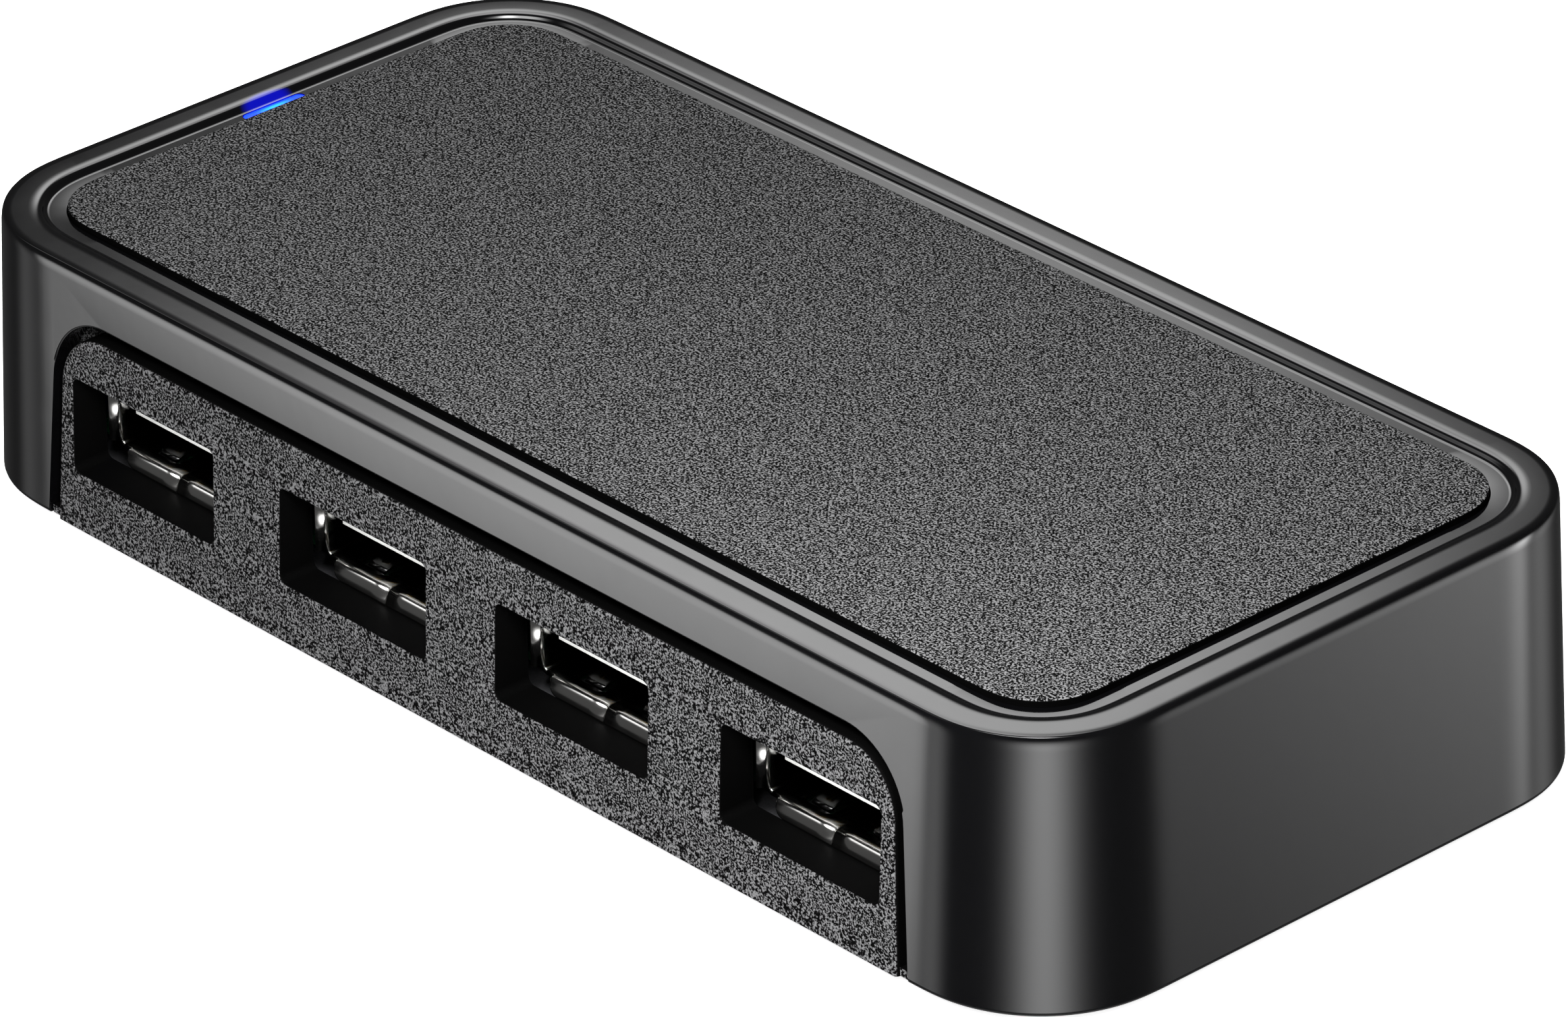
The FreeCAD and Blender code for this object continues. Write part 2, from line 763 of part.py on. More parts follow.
def make_board(doc):
    """Circuit board with holes for the bosses, the screws, the sockets' tabs and their contact tails."""
    body = new_body(doc, "circuit_board")
    place(body, up=FLOOR + size("board_underside"))
    outline = new_sketch(body, "XY_Plane", "board_outline")
    half = size("board_half_length")
    rounded_rectangle(outline, -half, half, -size("board_front"), size("board_back"), size("board_corner"))
    pad(body, outline, size("board_thickness"))
    holes = new_sketch(body, "XY_Plane", "board_holes")
    for side in CONTACT_SIDES:
        circle(holes, size("boss_across") * side, NONE, size("boss_radius") + 0.4)
        circle(holes, size("post_across") * side, size("post_along") * 4, size("board_screw_radius") + 0.05)
    tab_y = -size("socket_mouth") + size("ground_tab_from")
    tail_y = -size("socket_mouth") + size("contact_tail") + size("contact_sheet") / 2
    for port in PORTS:
        for side in CONTACT_SIDES:
            middle = port_across(port) + (SOCKET_HALF + size("socket_sheet") / 2) * side
            rectangle(
                holes, middle - 0.4, middle + 0.4,
                tab_y - 0.2, tab_y + size("ground_tab_width") + 0.2,
            )
            for across in (size("contact_inner"), size("contact_outer")):
                middle = port_across(port) + across * side
                circle(holes, middle, tail_y, size("contact_tail_width") / 2 + 0.15)
    pocket(body, holes, size("board_thickness"), backwards=True)
    return body


def make_board_screws(doc):
    screws = []
    for side in CONTACT_SIDES:
        screws.append(make_screw(
            doc, "board_screw", size("post_across") * side, size("post_along") * 4, BOARD_TOP, True,
            size("board_screw_head_radius"), size("board_screw_head_height"),
            size("board_screw_radius") - 0.02, size("board_screw_length") - 0.2,
        ))
    return group(doc, "board_screws", screws)


def make_controller(doc):
    """Hub controller: a square package with gull-wing leads on all four sides."""
    x, y = size("controller_across"), size("controller_along")
    half = size("controller_side") / 2
    bottom = BOARD_TOP + size("controller_standoff")
    package = box(doc, "controller_package", x - half, x + half, y - half, y + half, bottom,
                  bottom + size("controller_height"))
    pieces = [package]
    reach, width = size("controller_lead_reach"), size("controller_lead_width")
    sheet = size("controller_lead_sheet")
    for place_in_row in range(LEADS_PER_SIDE):
        shift = size("controller_lead_pitch") * (place_in_row - (LEADS_PER_SIDE - 1) / 2)
        for side in CONTACT_SIDES:
            near, far = half * side, (half + reach) * side
            low, high = (near, far) if side > 0 else (far, near)
            pieces.append(box(doc, "lead_x", x + low, x + high, y + shift - width / 2,
                              y + shift + width / 2, BOARD_TOP, BOARD_TOP + sheet))
            pieces.append(box(doc, "lead_y", x + shift - width / 2, x + shift + width / 2,
                              y + low, y + high, BOARD_TOP, BOARD_TOP + sheet))
    controller = joined(doc, "hub_controller", pieces)
    controller.Label = "hub_controller"
    return controller


def make_crystal(doc):
    """Timing crystal: an oval can with rolled-over flange."""
    body = new_body(doc, "crystal")
    place(body, size("crystal_across"), size("crystal_along"), BOARD_TOP)
    half_x, half_y = size("crystal_length") / 2, size("crystal_width") / 2
    flange = new_sketch(body, "XY_Plane", "crystal_flange")
    centred(flange, half_x, half_y, half_y * 0.94)
    pad(body, flange, size("crystal_height") / 6)
    can = new_sketch(body, "XY_Plane", "crystal_can")
    inset = size("crystal_width") / 10
    centred(can, half_x - inset, half_y - inset, (half_y - inset) * 0.94)
    pad(body, can, size("crystal_height"))
    top = number(size("crystal_height"))
    round_edges(body, "crystal_edge", size("crystal_width") / 8, lambda b: b.ZMin > top - 0.01)
    return body


def make_capacitors(doc):
    """One smoothing capacitor behind each socket: a can on a square moulded base."""
    pieces = []
    half = size("capacitor_base") / 2
    y = size("capacitor_along")
    for port in PORTS:
        x = port_across(port)
        level = BOARD_TOP + size("capacitor_base_height")
        foot = box(doc, "capacitor_foot", x - half, x + half, y - half, y + half, BOARD_TOP, level)
        radius, height = size("capacitor_radius"), size("capacitor_height")
        can = cylinder(doc, "capacitor_can", x, y, level, radius, height)
        pieces.append(joined(doc, "capacitor", [foot, can]))
    return group(doc, "port_capacitors", pieces)


def make_fuses(doc):
    """One resettable fuse beside each capacitor."""
    pieces = []
    half_x, half_y = size("fuse_width") / 2, size("fuse_length") / 2
    y = size("capacitor_along")
    for port in PORTS:
        x = port_across(port) + size("fuse_shift")
        pieces.append(box(doc, "fuse", x - half_x, x + half_x, y - half_y, y + half_y,
                          BOARD_TOP, BOARD_TOP + size("fuse_height")))
    return group(doc, "port_fuses", pieces)


def make_chip_parts(doc):
    """Rows of small chip resistors and capacitors on both sides of the controller."""
    pieces = []
    half_x, half_y = size("chip_part_length") / 2, size("chip_part_width") / 2
    reach = size("controller_side") + 0.5
    for side in CONTACT_SIDES:
        x = size("controller_across") + reach * side
        for row in range(CHIP_PARTS):
            y = size("controller_along") + size("chip_part_pitch") * (row - (CHIP_PARTS - 1) / 2) * 0.8
            pieces.append(box(doc, "chip_part", x - half_x, x + half_x, y - half_y, y + half_y,
                              BOARD_TOP, BOARD_TOP + size("chip_part_height")))
    return group(doc, "bypass_components", pieces)


def make_light(doc):
    """Light source on the board and the clear pipe that brings its light to the rim."""
    x, y = -size("light_across"), size("light_along")
    half_x, half_y = size("led_width") / 2, size("led_length") / 2
    top = BOARD_TOP + size("led_height")
    chip = box(doc, "led_chip", x - half_x, x + half_x, y - half_y, y + half_y, BOARD_TOP, top)
    chip.Label = "led_chip"
    body = new_body(doc, "light_pipe")
    place(body, up=top)
    outline = new_sketch(body, "XY_Plane", "light_outline")
    light_outline(outline, NONE)
    pad(body, outline, FLOOR + STEP_LEVEL - top)
    return [chip, body]


# ---------------------------------------------------------------- type A receptacles


def make_socket_shell(doc, port):
    """Stamped shell of one receptacle: a tube with flared lips, a seam, spring fingers and tabs."""
    body = new_body(doc, f"usb_a_shell_{port}")
    place(body, port_across(port), -size("socket_mouth"), SOCKET_FLOOR)
    sheet, height = size("socket_sheet"), size("socket_inner_height")
    bend, depth = size("socket_bend"), size("socket_depth")
    lip = size("lip_depth")
    tube = new_sketch(body, "XZ_Plane", f"tube_{port}", -lip)
    rounded_rectangle(tube, -SOCKET_HALF - sheet, SOCKET_HALF + sheet, -sheet, height + sheet, bend + sheet)
    rounded_rectangle(tube, -SOCKET_HALF, SOCKET_HALF, NONE, height, bend)
    pad(body, tube, depth - lip, backwards=True)

    spread = size("lip_spread")
    wide = new_sketch(body, "YZ_Plane", f"lips_{port}", -(size("lip_width") / 2))
    polygon(wide, [(NONE, -spread), (lip, NONE), (lip, -sheet), (NONE, -spread - sheet)])
    top = height + spread
    polygon(wide, [(NONE, top), (lip, height), (lip, height + sheet), (NONE, top + sheet)])
    pad(body, wide, size("lip_width"))
    sides = new_sketch(body, "XY_Plane", f"side_lips_{port}", size("side_lip_bottom"))
    near, far = SOCKET_HALF, SOCKET_HALF + sheet
    flare = size("side_lip_spread")
    for side in CONTACT_SIDES:
        polygon(sides, [
            ((near + flare) * side, NONE),
            (near * side, lip),
            (far * side, lip),
            ((far + flare) * side, NONE),
        ])
    pad(body, sides, size("side_lip_top") - size("side_lip_bottom"))

    seam = new_sketch(body, "XY_Plane", f"seam_{port}", -sheet * 4)
    rectangle(seam, -size("socket_seam") / 2, size("socket_seam") / 2, -sheet, depth + sheet)
    pocket(body, seam, sheet * 5, backwards=True)
    slits = new_sketch(body, "XY_Plane", f"slits_{port}", -sheet * 2)
    tip, root = size("finger_tip"), size("finger_root")
    outer = size("finger_width") / 2 + size("finger_slit")
    for side in CONTACT_SIDES:
        middle = size("finger_across") * side
        rectangle(slits, middle - outer, middle + outer, tip - size("finger_slit"), root)
    tail_half = size("tongue_width") / 2
    rectangle(slits, -tail_half, tail_half, size("contact_tail") - 1, depth + sheet)
    pocket(body, slits, sheet * 3, backwards=True)
    fingers = []
    rise, half = size("finger_rise"), size("finger_width") / 2
    for side in CONTACT_SIDES:
        name = "left" if side < 0 else "right"
        leaf = new_sketch(body, "YZ_Plane", f"finger_{name}_{port}", size("finger_across") * side - half)
        bow = (root - tip) / 3
        polygon(leaf, [
            (root, -sheet), (root, NONE), (tip + bow, rise), (tip, rise - sheet / 2),
            (tip, rise - sheet * 1.5), (tip + bow, rise - sheet),
        ])
        fingers.append(pad(body, leaf, size("finger_width")))
    tabs = new_sketch(body, "XY_Plane", f"tabs_{port}")
    start = size("ground_tab_from")
    for side in CONTACT_SIDES:
        low, high = (near, far) if side > 0 else (-far, -near)
        rectangle(tabs, low, high, start, start + size("ground_tab_width"))
    pad(body, tabs, size("ground_tab_length"), backwards=True)
    return body


def make_socket_contacts(doc, port):
    """Four flat contacts under the tongue, each with a tail that goes down through the board."""
    pieces = []
    sheet, level = size("contact_sheet"), size("tongue_level")
    front = -size("socket_mouth")
    half, tail_half = size("contact_width") / 2, size("contact_tail_width") / 2
    tail = front + size("contact_tail")
    top = SOCKET_FLOOR + level
    for side in CONTACT_SIDES:
        for across in (size("contact_inner"), size("contact_outer")):
            x = port_across(port) + across * side
            strip = box(doc, "contact_strip", x - half, x + half, front + size("contact_front"),
                        tail + sheet, top - sheet, top)
            down = box(doc, "contact_tail", x - tail_half, x + tail_half, tail, tail + sheet,
                       top - size("contact_tail_length"), top - sheet)
            pieces.append(joined(doc, "contact", [strip, down]))
    return group(doc, f"usb_a_contacts_{port}", pieces)


def make_socket_insulator(doc, port, contacts):
    """Moulded block with the flat tongue that carries the contacts."""
    x, front = port_across(port), -size("socket_mouth")
    gap = size("socket_block_gap")
    tongue_half = size("tongue_width") / 2
    level = SOCKET_FLOOR + size("tongue_level")
    root = front + size("tongue_root")
    tongue = box(doc, "tongue", x - tongue_half, x + tongue_half, front + size("tongue_tip"), root,
                 level, level + size("tongue_thickness"))
    half = SOCKET_HALF - gap - 0.3
    block = box(doc, "socket_block", x - half, x + half, root, front + size("socket_block_back"),
                SOCKET_FLOOR + gap, SOCKET_FLOOR + size("socket_inner_height") - gap)
    blank = joined(doc, f"insulator_blank_{port}", [tongue, block])
    return cut(doc, f"usb_a_insulator_{port}", blank, contacts)


# ---------------------------------------------------------------- upstream socket and power inlet


def mini_outline(inset):
    """Outline of the mini B shell: straight shoulders above a narrower lower part."""
    top, bottom = size("mini_top_width") / 2 - inset, size("mini_bottom_width") / 2 - inset
    shoulder, height = size("mini_shoulder"), size("mini_height") - inset
    low = NONE + inset
    return [(-bottom, low), (bottom, low), (top, shoulder), (top, height), (-top, height), (-top, shoulder)]


def make_mini_shell(doc):
    body = new_body(doc, "mini_b_shell")
    place(body, size("mini_across"), size("mini_mouth"), BOARD_TOP)
    tube = new_sketch(body, "XZ_Plane", "mini_tube")
    polygon(tube, mini_outline(NONE))
    polygon(tube, mini_outline(size("mini_sheet")))
    pad(body, tube, size("mini_depth"))
    return body


def make_mini_contacts(doc):
    """Five narrow contacts on top of the tongue."""
    pieces = []
    half = size("mini_contact_width") / 2
    level = mini_tongue_level() + size("mini_tongue_thickness")
    mouth = size("mini_mouth")
    for row in range(MINI_CONTACTS):
        x = size("mini_across") + size("mini_pitch") * (row - (MINI_CONTACTS - 1) / 2)
        pieces.append(box(doc, "mini_contact", x - half, x + half, mouth - size("mini_depth"),
                          mouth - size("mini_tongue_tip") - 0.5, level, level + size("mini_contact_sheet")))
    return group(doc, "mini_b_contacts", pieces)


def mini_tongue_level():
    return BOARD_TOP + size("mini_height") / 2 - size("mini_tongue_thickness") / 2


def make_mini_insulator(doc, contacts):
    x, mouth = size("mini_across"), size("mini_mouth")
    half = size("mini_tongue_width") / 2
    level = mini_tongue_level()
    root = mouth - size("mini_block_front")
    tongue = box(doc, "mini_tongue", x - half, x + half, root, mouth - size("mini_tongue_tip"),
                 level, level + size("mini_tongue_thickness"))
    sheet = size("mini_sheet")
    block_half = size("mini_bottom_width") / 2 - sheet
    block = box(doc, "mini_block", x - block_half, x + block_half, mouth - size("mini_depth"), root,
                BOARD_TOP + sheet, BOARD_TOP + size("mini_height") - sheet)
    blank = joined(doc, "mini_blank", [tongue, block])
    return cut(doc, "mini_b_insulator", blank, contacts)


def turned_cylinder(doc, name, x, y, z, radius, length):
    """A cylinder along Y whose back end is at y."""
    item = doc.addObject("Part::Cylinder", name)
    item.Placement = FreeCAD.Placement(FreeCAD.Vector(), FreeCAD.Rotation(FreeCAD.Vector(1, 0, 0), 90))
    item.setExpression("Radius", radius.text)
    item.setExpression("Height", length.text)
    place(item, x, y, z)
    return item


def make_jack(doc):
    """Power inlet: moulded body with a round nose and a bore, centre pin, and side spring."""
    x, axis = size("jack_across"), BOARD_TOP + size("jack_axis_height")
    mouth = size("mini_mouth")
    back = mouth - size("jack_nose_length")
    front = back - size("jack_length")
    half = size("jack_width") / 2
    top = BOARD_TOP + size("jack_height")
    block = box(doc, "jack_block", x - half, x + half, front, back, BOARD_TOP, top)
    nose = turned_cylinder(doc, "jack_nose", x, mouth, axis, size("jack_nose_radius"),
                           size("jack_nose_length") + 1)
    blank = joined(doc, "jack_blank", [block, nose])
    bore_radius, bore_depth = size("jack_bore_radius"), size("jack_bore_depth")
    bore = turned_cylinder(doc, "jack_bore", x, mouth, axis, bore_radius, bore_depth)
    bored = cut(doc, "jack_bored", blank, bore)

    pin_radius, pin_length = size("jack_pin_radius"), size("jack_pin_length")
    wall = mouth - bore_depth
    pin = turned_cylinder(doc, "dc_jack_pin", x, wall + pin_length, axis, pin_radius, pin_length + 1)
    pin.Label = "dc_jack_pin"
    sheet, spring_half = size("jack_spring_sheet"), size("jack_spring_width") / 2
    low = axis - bore_radius + size("jack_spring_rise")
    leaf = box(doc, "spring_leaf", x - spring_half, x + spring_half, front - sheet, back - 1.2,
               low, low + sheet)
    tail = box(doc, "spring_tail", x - spring_half, x + spring_half, front - sheet, front, BOARD_TOP, low)
    spring = joined(doc, "dc_jack_spring", [leaf, tail])
    spring.Label = "dc_jack_spring"
    tools = doc.addObject("Part::Compound", "jack_tools")
    tools.Links = [pin, spring]
    return [cut(doc, "dc_jack_body", bored, tools), pin, spring]


# ---------------------------------------------------------------- the whole hub


def build(doc):
    """Makes every sub-part and returns them in assembly order."""
    parts = [
        make_top_shell(doc),
        make_top_insert(doc),
        make_adhesive(doc),
        make_front_panel(doc),
        make_bottom_cover(doc),
        make_feet(doc),
        make_case_screws(doc),
        make_board(doc),
        make_board_screws(doc),
        make_controller(doc),
        make_crystal(doc),
        make_capacitors(doc),
        make_fuses(doc),
        make_chip_parts(doc),
    ]
    parts += make_light(doc)
    for port in PORTS:
        contacts = make_socket_contacts(doc, port)
        insulator = make_socket_insulator(doc, port, contacts)
        parts += [make_socket_shell(doc, port), insulator, contacts]
    mini_contacts = make_mini_contacts(doc)
    parts += [make_mini_shell(doc), make_mini_insulator(doc, mini_contacts), mini_contacts]
    parts += make_jack(doc)
    doc.recompute()
    return parts


def check(doc, parts):
    """Stops on any failed object or any sub-part without a sound shape."""
    for item in doc.Objects:
        if "Invalid" in item.State or "Error" in item.State:
            raise ValueError(f"{item.Label} failed: {item.State}")
    labels = [part.Label for part in parts]
    if len(set(labels)) != len(labels):
        raise ValueError(f"two sub-parts share a name: {labels}")
    for part in parts:
        if part.Shape.isNull() or not part.Shape.isValid() or not part.Shape.Solids:
            raise ValueError(f"{part.Label} has no sound shape")


def main():
    doc = FreeCAD.newDocument("usb_hub")
    make_sheet(doc)
    parts = build(doc)
    check(doc, parts)
    os.makedirs("parts", exist_ok=True)
    for part in parts:
        part.Shape.exportStep(f"parts/{part.Label}.step")
        box_of = part.Shape.BoundBox
        print(f"{part.Label}: {len(part.Shape.Solids)} solids, {part.Shape.Volume:.1f} mm3, "
              f"z {box_of.ZMin:.2f} to {box_of.ZMax:.2f}")


main()
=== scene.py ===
"""Looks for the four-port USB hub: studio, camera, materials and the finer visible pieces."""

import math

import bmesh
import bpy
from mathutils import Matrix, Vector


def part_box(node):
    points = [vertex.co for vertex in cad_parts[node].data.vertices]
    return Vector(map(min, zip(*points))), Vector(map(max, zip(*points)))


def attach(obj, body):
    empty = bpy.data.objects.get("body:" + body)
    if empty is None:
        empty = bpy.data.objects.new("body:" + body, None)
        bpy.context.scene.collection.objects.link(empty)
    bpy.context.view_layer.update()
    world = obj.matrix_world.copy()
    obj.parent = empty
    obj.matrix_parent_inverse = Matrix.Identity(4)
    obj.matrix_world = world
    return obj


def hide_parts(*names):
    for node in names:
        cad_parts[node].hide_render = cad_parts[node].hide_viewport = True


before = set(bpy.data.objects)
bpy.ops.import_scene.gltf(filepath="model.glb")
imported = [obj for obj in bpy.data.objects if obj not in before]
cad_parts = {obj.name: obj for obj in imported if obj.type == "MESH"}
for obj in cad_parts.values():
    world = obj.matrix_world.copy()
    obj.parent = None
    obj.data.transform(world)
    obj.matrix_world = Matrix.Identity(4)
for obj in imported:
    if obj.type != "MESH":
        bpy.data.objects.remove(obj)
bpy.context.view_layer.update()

MM = 0.001
PORTS = (1, 2, 3, 4)

# Camera, in the row's frame
CAMERA_AZIMUTH = 47.724
CAMERA_ELEVATION = 28.509
CAMERA_ROLL = -0.815
CAMERA_DISTANCE = 585.849
CAMERA_TARGET = (5.694, -1.401, 9.62)
CAMERA_LENS = 221.19
CAMERA_SHIFT = (-0.0138, 0.00127)

# Soft lights round the hub: azimuth, elevation, half-width and half-height in degrees, brightness,
# and how sharp the light's edge is. The last one is the bright ground.
SOFT_LIGHTS = [
    (-62.0, 53.0, 40.0, 13.0, 14.0, 2.0),
    (-45.0, 52.0, 14.0, 14.0, 22.0, 1.5),
    (137.9, 30.4, 4.6, 4.2, 4.6, 1.8),
    (141.0, 43.0, 9.0, 9.0, 5.0, 2.5),
    (-145.0, 36.0, 16.0, 9.0, 2.0, 1.0),
    (-136.0, -22.0, 5.0, 6.0, 4.9, 2.0),
    (-127.5, -25.0, 8.5, 7.0, 1.6, 1.0),
    (-150.0, -24.0, 9.0, 6.0, 0.6, 1.0),
    (-41.5, -22.0, 21.5, 10.0, 6.8, 1.0),
    (49.5, -20.0, 6.0, 5.5, 9.5, 1.0),
    (66.0, -23.0, 18.0, 7.0, 1.6, 1.0),
    (0.0, -90.0, 400.0, 40.0, 1.0, 2.0),
]
STUDIO_BASE = 0.08
FLOOR_SIZE = 20000.0
FLOOR_GLOW = 0.9

# A small lamp near the front right corner, which the gloss doesn't mirror
LAMP_PLACE = (70.0, -90.0, 105.0)
LAMP_AIM = (30.0, -14.0, 15.0)
LAMP_SIZE = 30.0
LAMP_POWER = 0.9

# Case. Insets are measured in from the outline at the bottom edge, or from the top's edge for
# the rims. A pair is how far a rounded edge reaches along the face before it and the one after.
CASE_CORNER = 9.44
CASE_WALL = 1.8
CASE_LEAN = 0.768
CEILING = 15.1
CAVITY_LEAN = 0.643
UPPER_RIM = 2.45
RIM_FOOT = 2.72
RIM_STEP = 0.35
POCKET_INSET = 4.1
POCKET_DEPTH = 1.07
INSERT_INSET = 4.15
INSERT_ROUND = (0.14, 0.2)
BOTTOM_ROUND = (0.35, 0.35)
TOP_ROUND = (0.92, 0.16)
CROWN_WIDTH = 0.5
CROWN_DROP = 0.025
CROWN_ROUND = (0.2, 0.2)
RIM_ROUND = (0.8, 0.16)
FOOT_ROUND = (0.16, 0.3)
POCKET_ROUND = (0.06, 0.06)
CORNER_STEPS = 40
CORNER_RAMP = 0.24
EASE_STEPS = 9
NOTCH_HALF = 38.74
NOTCH_FLARE = 0.72
NOTCH_HEIGHT = 14.7
NOTCH_CORNER = 5.1
NOTCH_DEPTH = 5.0
EDGE_BEVEL = 0.15
LENS_GAP = 0.04
LENS_SLOT_CORNER = 0.42
MINI_CLEARANCE = 0.45
MINI_CORNER = 0.65
JACK_RADIUS = 3.35
BOSS_ACROSS = 41.5
BOSS_RADIUS = 2.6
BOSS_BORE = 1.15
BOSS_START = 2.0
BOSS_OVERLAP = 0.2

# Etched grain: noise scales per millimetre, how much the coarse one counts, the range that turns
# into bright specks, and the relief
GRAIN_FINE = 7.0
GRAIN_COARSE = 2.5
GRAIN_COARSE_SHARE = 0.15
GRAIN_RANGE = (0.45, 0.62)
GRAIN_RELIEF = 0.035
GRAIN_SHINE = 0.02

# Painted blue glow on the case beside the status light, standing for the lens's light spilling onto it: how
# far out its middle lies, its half sizes and its strength
GLOW_SHIFT = 0.75
GLOW_HALF = (0.85, 2.0)
GLOW_STRENGTH = 0.5

# Receptacles, measured from the mouth and the floor inside
SHEET = 0.3
MOUTH_WIDTH = 12.5
MOUTH_HEIGHT = 5.12
MOUTH_BEND = 0.5
SOCKET_DEPTH = 14.0
LIP_DEPTH = 0.32
LIP_SPREAD = 0.77
LIP_HALF = 5.0
LIP_CORNER = 0.75
SIDE_SPREAD = 0.37
LIP_BEND = 0.12
LIP_TURN = 0.2
LIP_BULGE = 0.03
LIP_STEPS = 10
LIP_ROOT = 0.12
FINGER_ACROSS = 2.6
FINGER_HALF = 0.85
FINGER_SLIT = 0.35
FINGER_TIP = 1.35
FINGER_ROOT = 7.6
FINGER_RISE = 0.45
FINGER_STATIONS = (0, 0.25, 0.9, 1.8, 3.6)
FINGER_NOSE = 0.5
FINGER_TAPER = (0.8, 0.95)
SEAM_HALF = 0.06
# A board tab along the socket: its start and end, how far it drops, its root, and its point
TAB_START = 6.0
TAB_END = 8.0
TAB_DROP = 2.9
TAB_ROOT = 0.6
TAB_TAPER = (0.4, 0.5)

# Rubber feet and case screws
FOOT_RADIUS = 4.0
FOOT_HOLLOW = 0.12
FOOT_RING = (2.2, 2.5)
SCREW_HEAD = 2.1
SCREW_SEAT = 1.2
SCREW_RADIUS = 1.13
THREAD_START = 0.4
THREAD_STEP = 0.35
THREAD_DEPTH = 0.22
THREAD_TURNS = 20
DRIVE_REACH = 1.2
DRIVE_HALF = 0.25
DRIVE_DEPTH = 0.6


def corners_of(node):
    """A CAD node's lowest and highest corners, in millimetres."""
    low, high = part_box(node)
    return Vector(low) / MM, Vector(high) / MM


CASE_LOW, CASE_HIGH = corners_of("top_shell")
INSERT_LOW, INSERT_HIGH = corners_of("top_inlay")
FLOOR_LEVEL = CASE_LOW.z
CASE_TOP = CASE_HIGH.z
HALF_LENGTH = (CASE_HIGH.x - CASE_LOW.x) / 2
HALF_WIDTH = (CASE_HIGH.y - CASE_LOW.y) / 2
STEP_LEVEL = CASE_TOP - RIM_STEP


# ---------------------------------------------------------------- studio


def direction(azimuth, elevation):
    """The unit vector towards an azimuth and elevation in degrees."""
    az, el = math.radians(azimuth), math.radians(elevation)
    return Vector((math.cos(az) * math.cos(el), math.sin(az) * math.cos(el), math.sin(el)))


def make_camera():
    look = direction(CAMERA_AZIMUTH + 90, -CAMERA_ELEVATION)
    right = direction(CAMERA_AZIMUTH, 0)
    up = right.cross(look)
    roll = math.radians(CAMERA_ROLL)
    right, up = (
        right * math.cos(roll) + up * math.sin(roll),
        up * math.cos(roll) - right * math.sin(roll),
    )
    place = (Vector(CAMERA_TARGET) - look * CAMERA_DISTANCE) * MM
    data = bpy.data.cameras.new("camera")
    data.sensor_width = 36.0
    data.lens = CAMERA_LENS
    data.shift_x, data.shift_y = CAMERA_SHIFT
    data.clip_start = 0.01
    data.clip_end = 20.0
    camera = bpy.data.objects.new("camera", data)
    bpy.context.scene.collection.objects.link(camera)
    turn = Matrix((right, up, -look)).transposed().to_4x4()
    camera.matrix_world = Matrix.Translation(place) @ turn
    bpy.context.scene.camera = camera


class Graph:
    """Short ways to add shader nodes to a tree."""

    def __init__(self, tree):
        self.tree = tree

    def node(self, kind, **settings):
        made = self.tree.nodes.new(kind)
        for key, value in settings.items():
            setattr(made, key, value)
        return made

    def put(self, socket, value):
        if isinstance(value, bpy.types.NodeSocket):
            self.tree.links.new(value, socket)
        else:
            socket.default_value = value

    def math(self, operation, *values):
        made = self.node("ShaderNodeMath", operation=operation)
        for socket, value in zip(made.inputs, values):
            self.put(socket, value)
        return made.outputs[0]

    def ease(self, value, low, high, start=0.0, end=1.0):
        """The value's smooth way from low to high, as start to end."""
        made = self.node("ShaderNodeMapRange", interpolation_type="SMOOTHSTEP")
        for socket, number in zip(made.inputs, (value, low, high, start, end)):
            self.put(socket, number)
        return made.outputs["Result"]

    def mix(self, factor, first, second):
        """A colour between two others."""
        made = self.node("ShaderNodeMix", data_type="RGBA")
        self.put(made.inputs["Factor"], factor)
        colours = [s for s in made.inputs if s.type == "RGBA"]
        for socket, value in zip(colours, (first, second)):
            self.put(socket, value if isinstance(value, bpy.types.NodeSocket) else (*value, 1.0))
        return next(s for s in made.outputs if s.type == "RGBA")

    def place(self, stretch=(1.0, 1.0, 1.0)):
        """The object's own coordinates in millimetres, stretched."""
        texture = self.node("ShaderNodeTexCoord")
        mapping = self.node("ShaderNodeMapping")
        mapping.inputs["Scale"].default_value = tuple(s / MM for s in stretch)
        self.tree.links.new(texture.outputs["Object"], mapping.inputs["Vector"])
        return mapping.outputs["Vector"]

    def noise(self, where, scale, detail=2.0, roughness=0.5):
        made = self.node("ShaderNodeTexNoise")
        self.put(made.inputs["Vector"], where)
        made.inputs["Scale"].default_value = scale
        made.inputs["Detail"].default_value = detail
        made.inputs["Roughness"].default_value = roughness
        return made.outputs["Fac"]

    def axes(self, vector):
        """The x, y and z of a vector."""
        split = self.node("ShaderNodeSeparateXYZ")
        self.tree.links.new(vector, split.inputs[0])
        return split.outputs

    def squares(self, first, second):
        """The sum of two values' squares."""
        return self.math("ADD", *(self.math("MULTIPLY", v, v) for v in (first, second)))

    def bump(self, height, depth):
        """A normal for relief of this depth in millimetres."""
        made = self.node("ShaderNodeBump")
        made.inputs["Strength"].default_value = 1.0
        made.inputs["Distance"].default_value = depth * MM
        self.put(made.inputs["Height"], height)
        return made.outputs["Normal"]

    def facing(self, axis):
        """How much the surface itself faces along an axis, from its true normal."""
        return self.axes(self.node("ShaderNodeNewGeometry").outputs["Normal"])["XYZ".index(axis)]


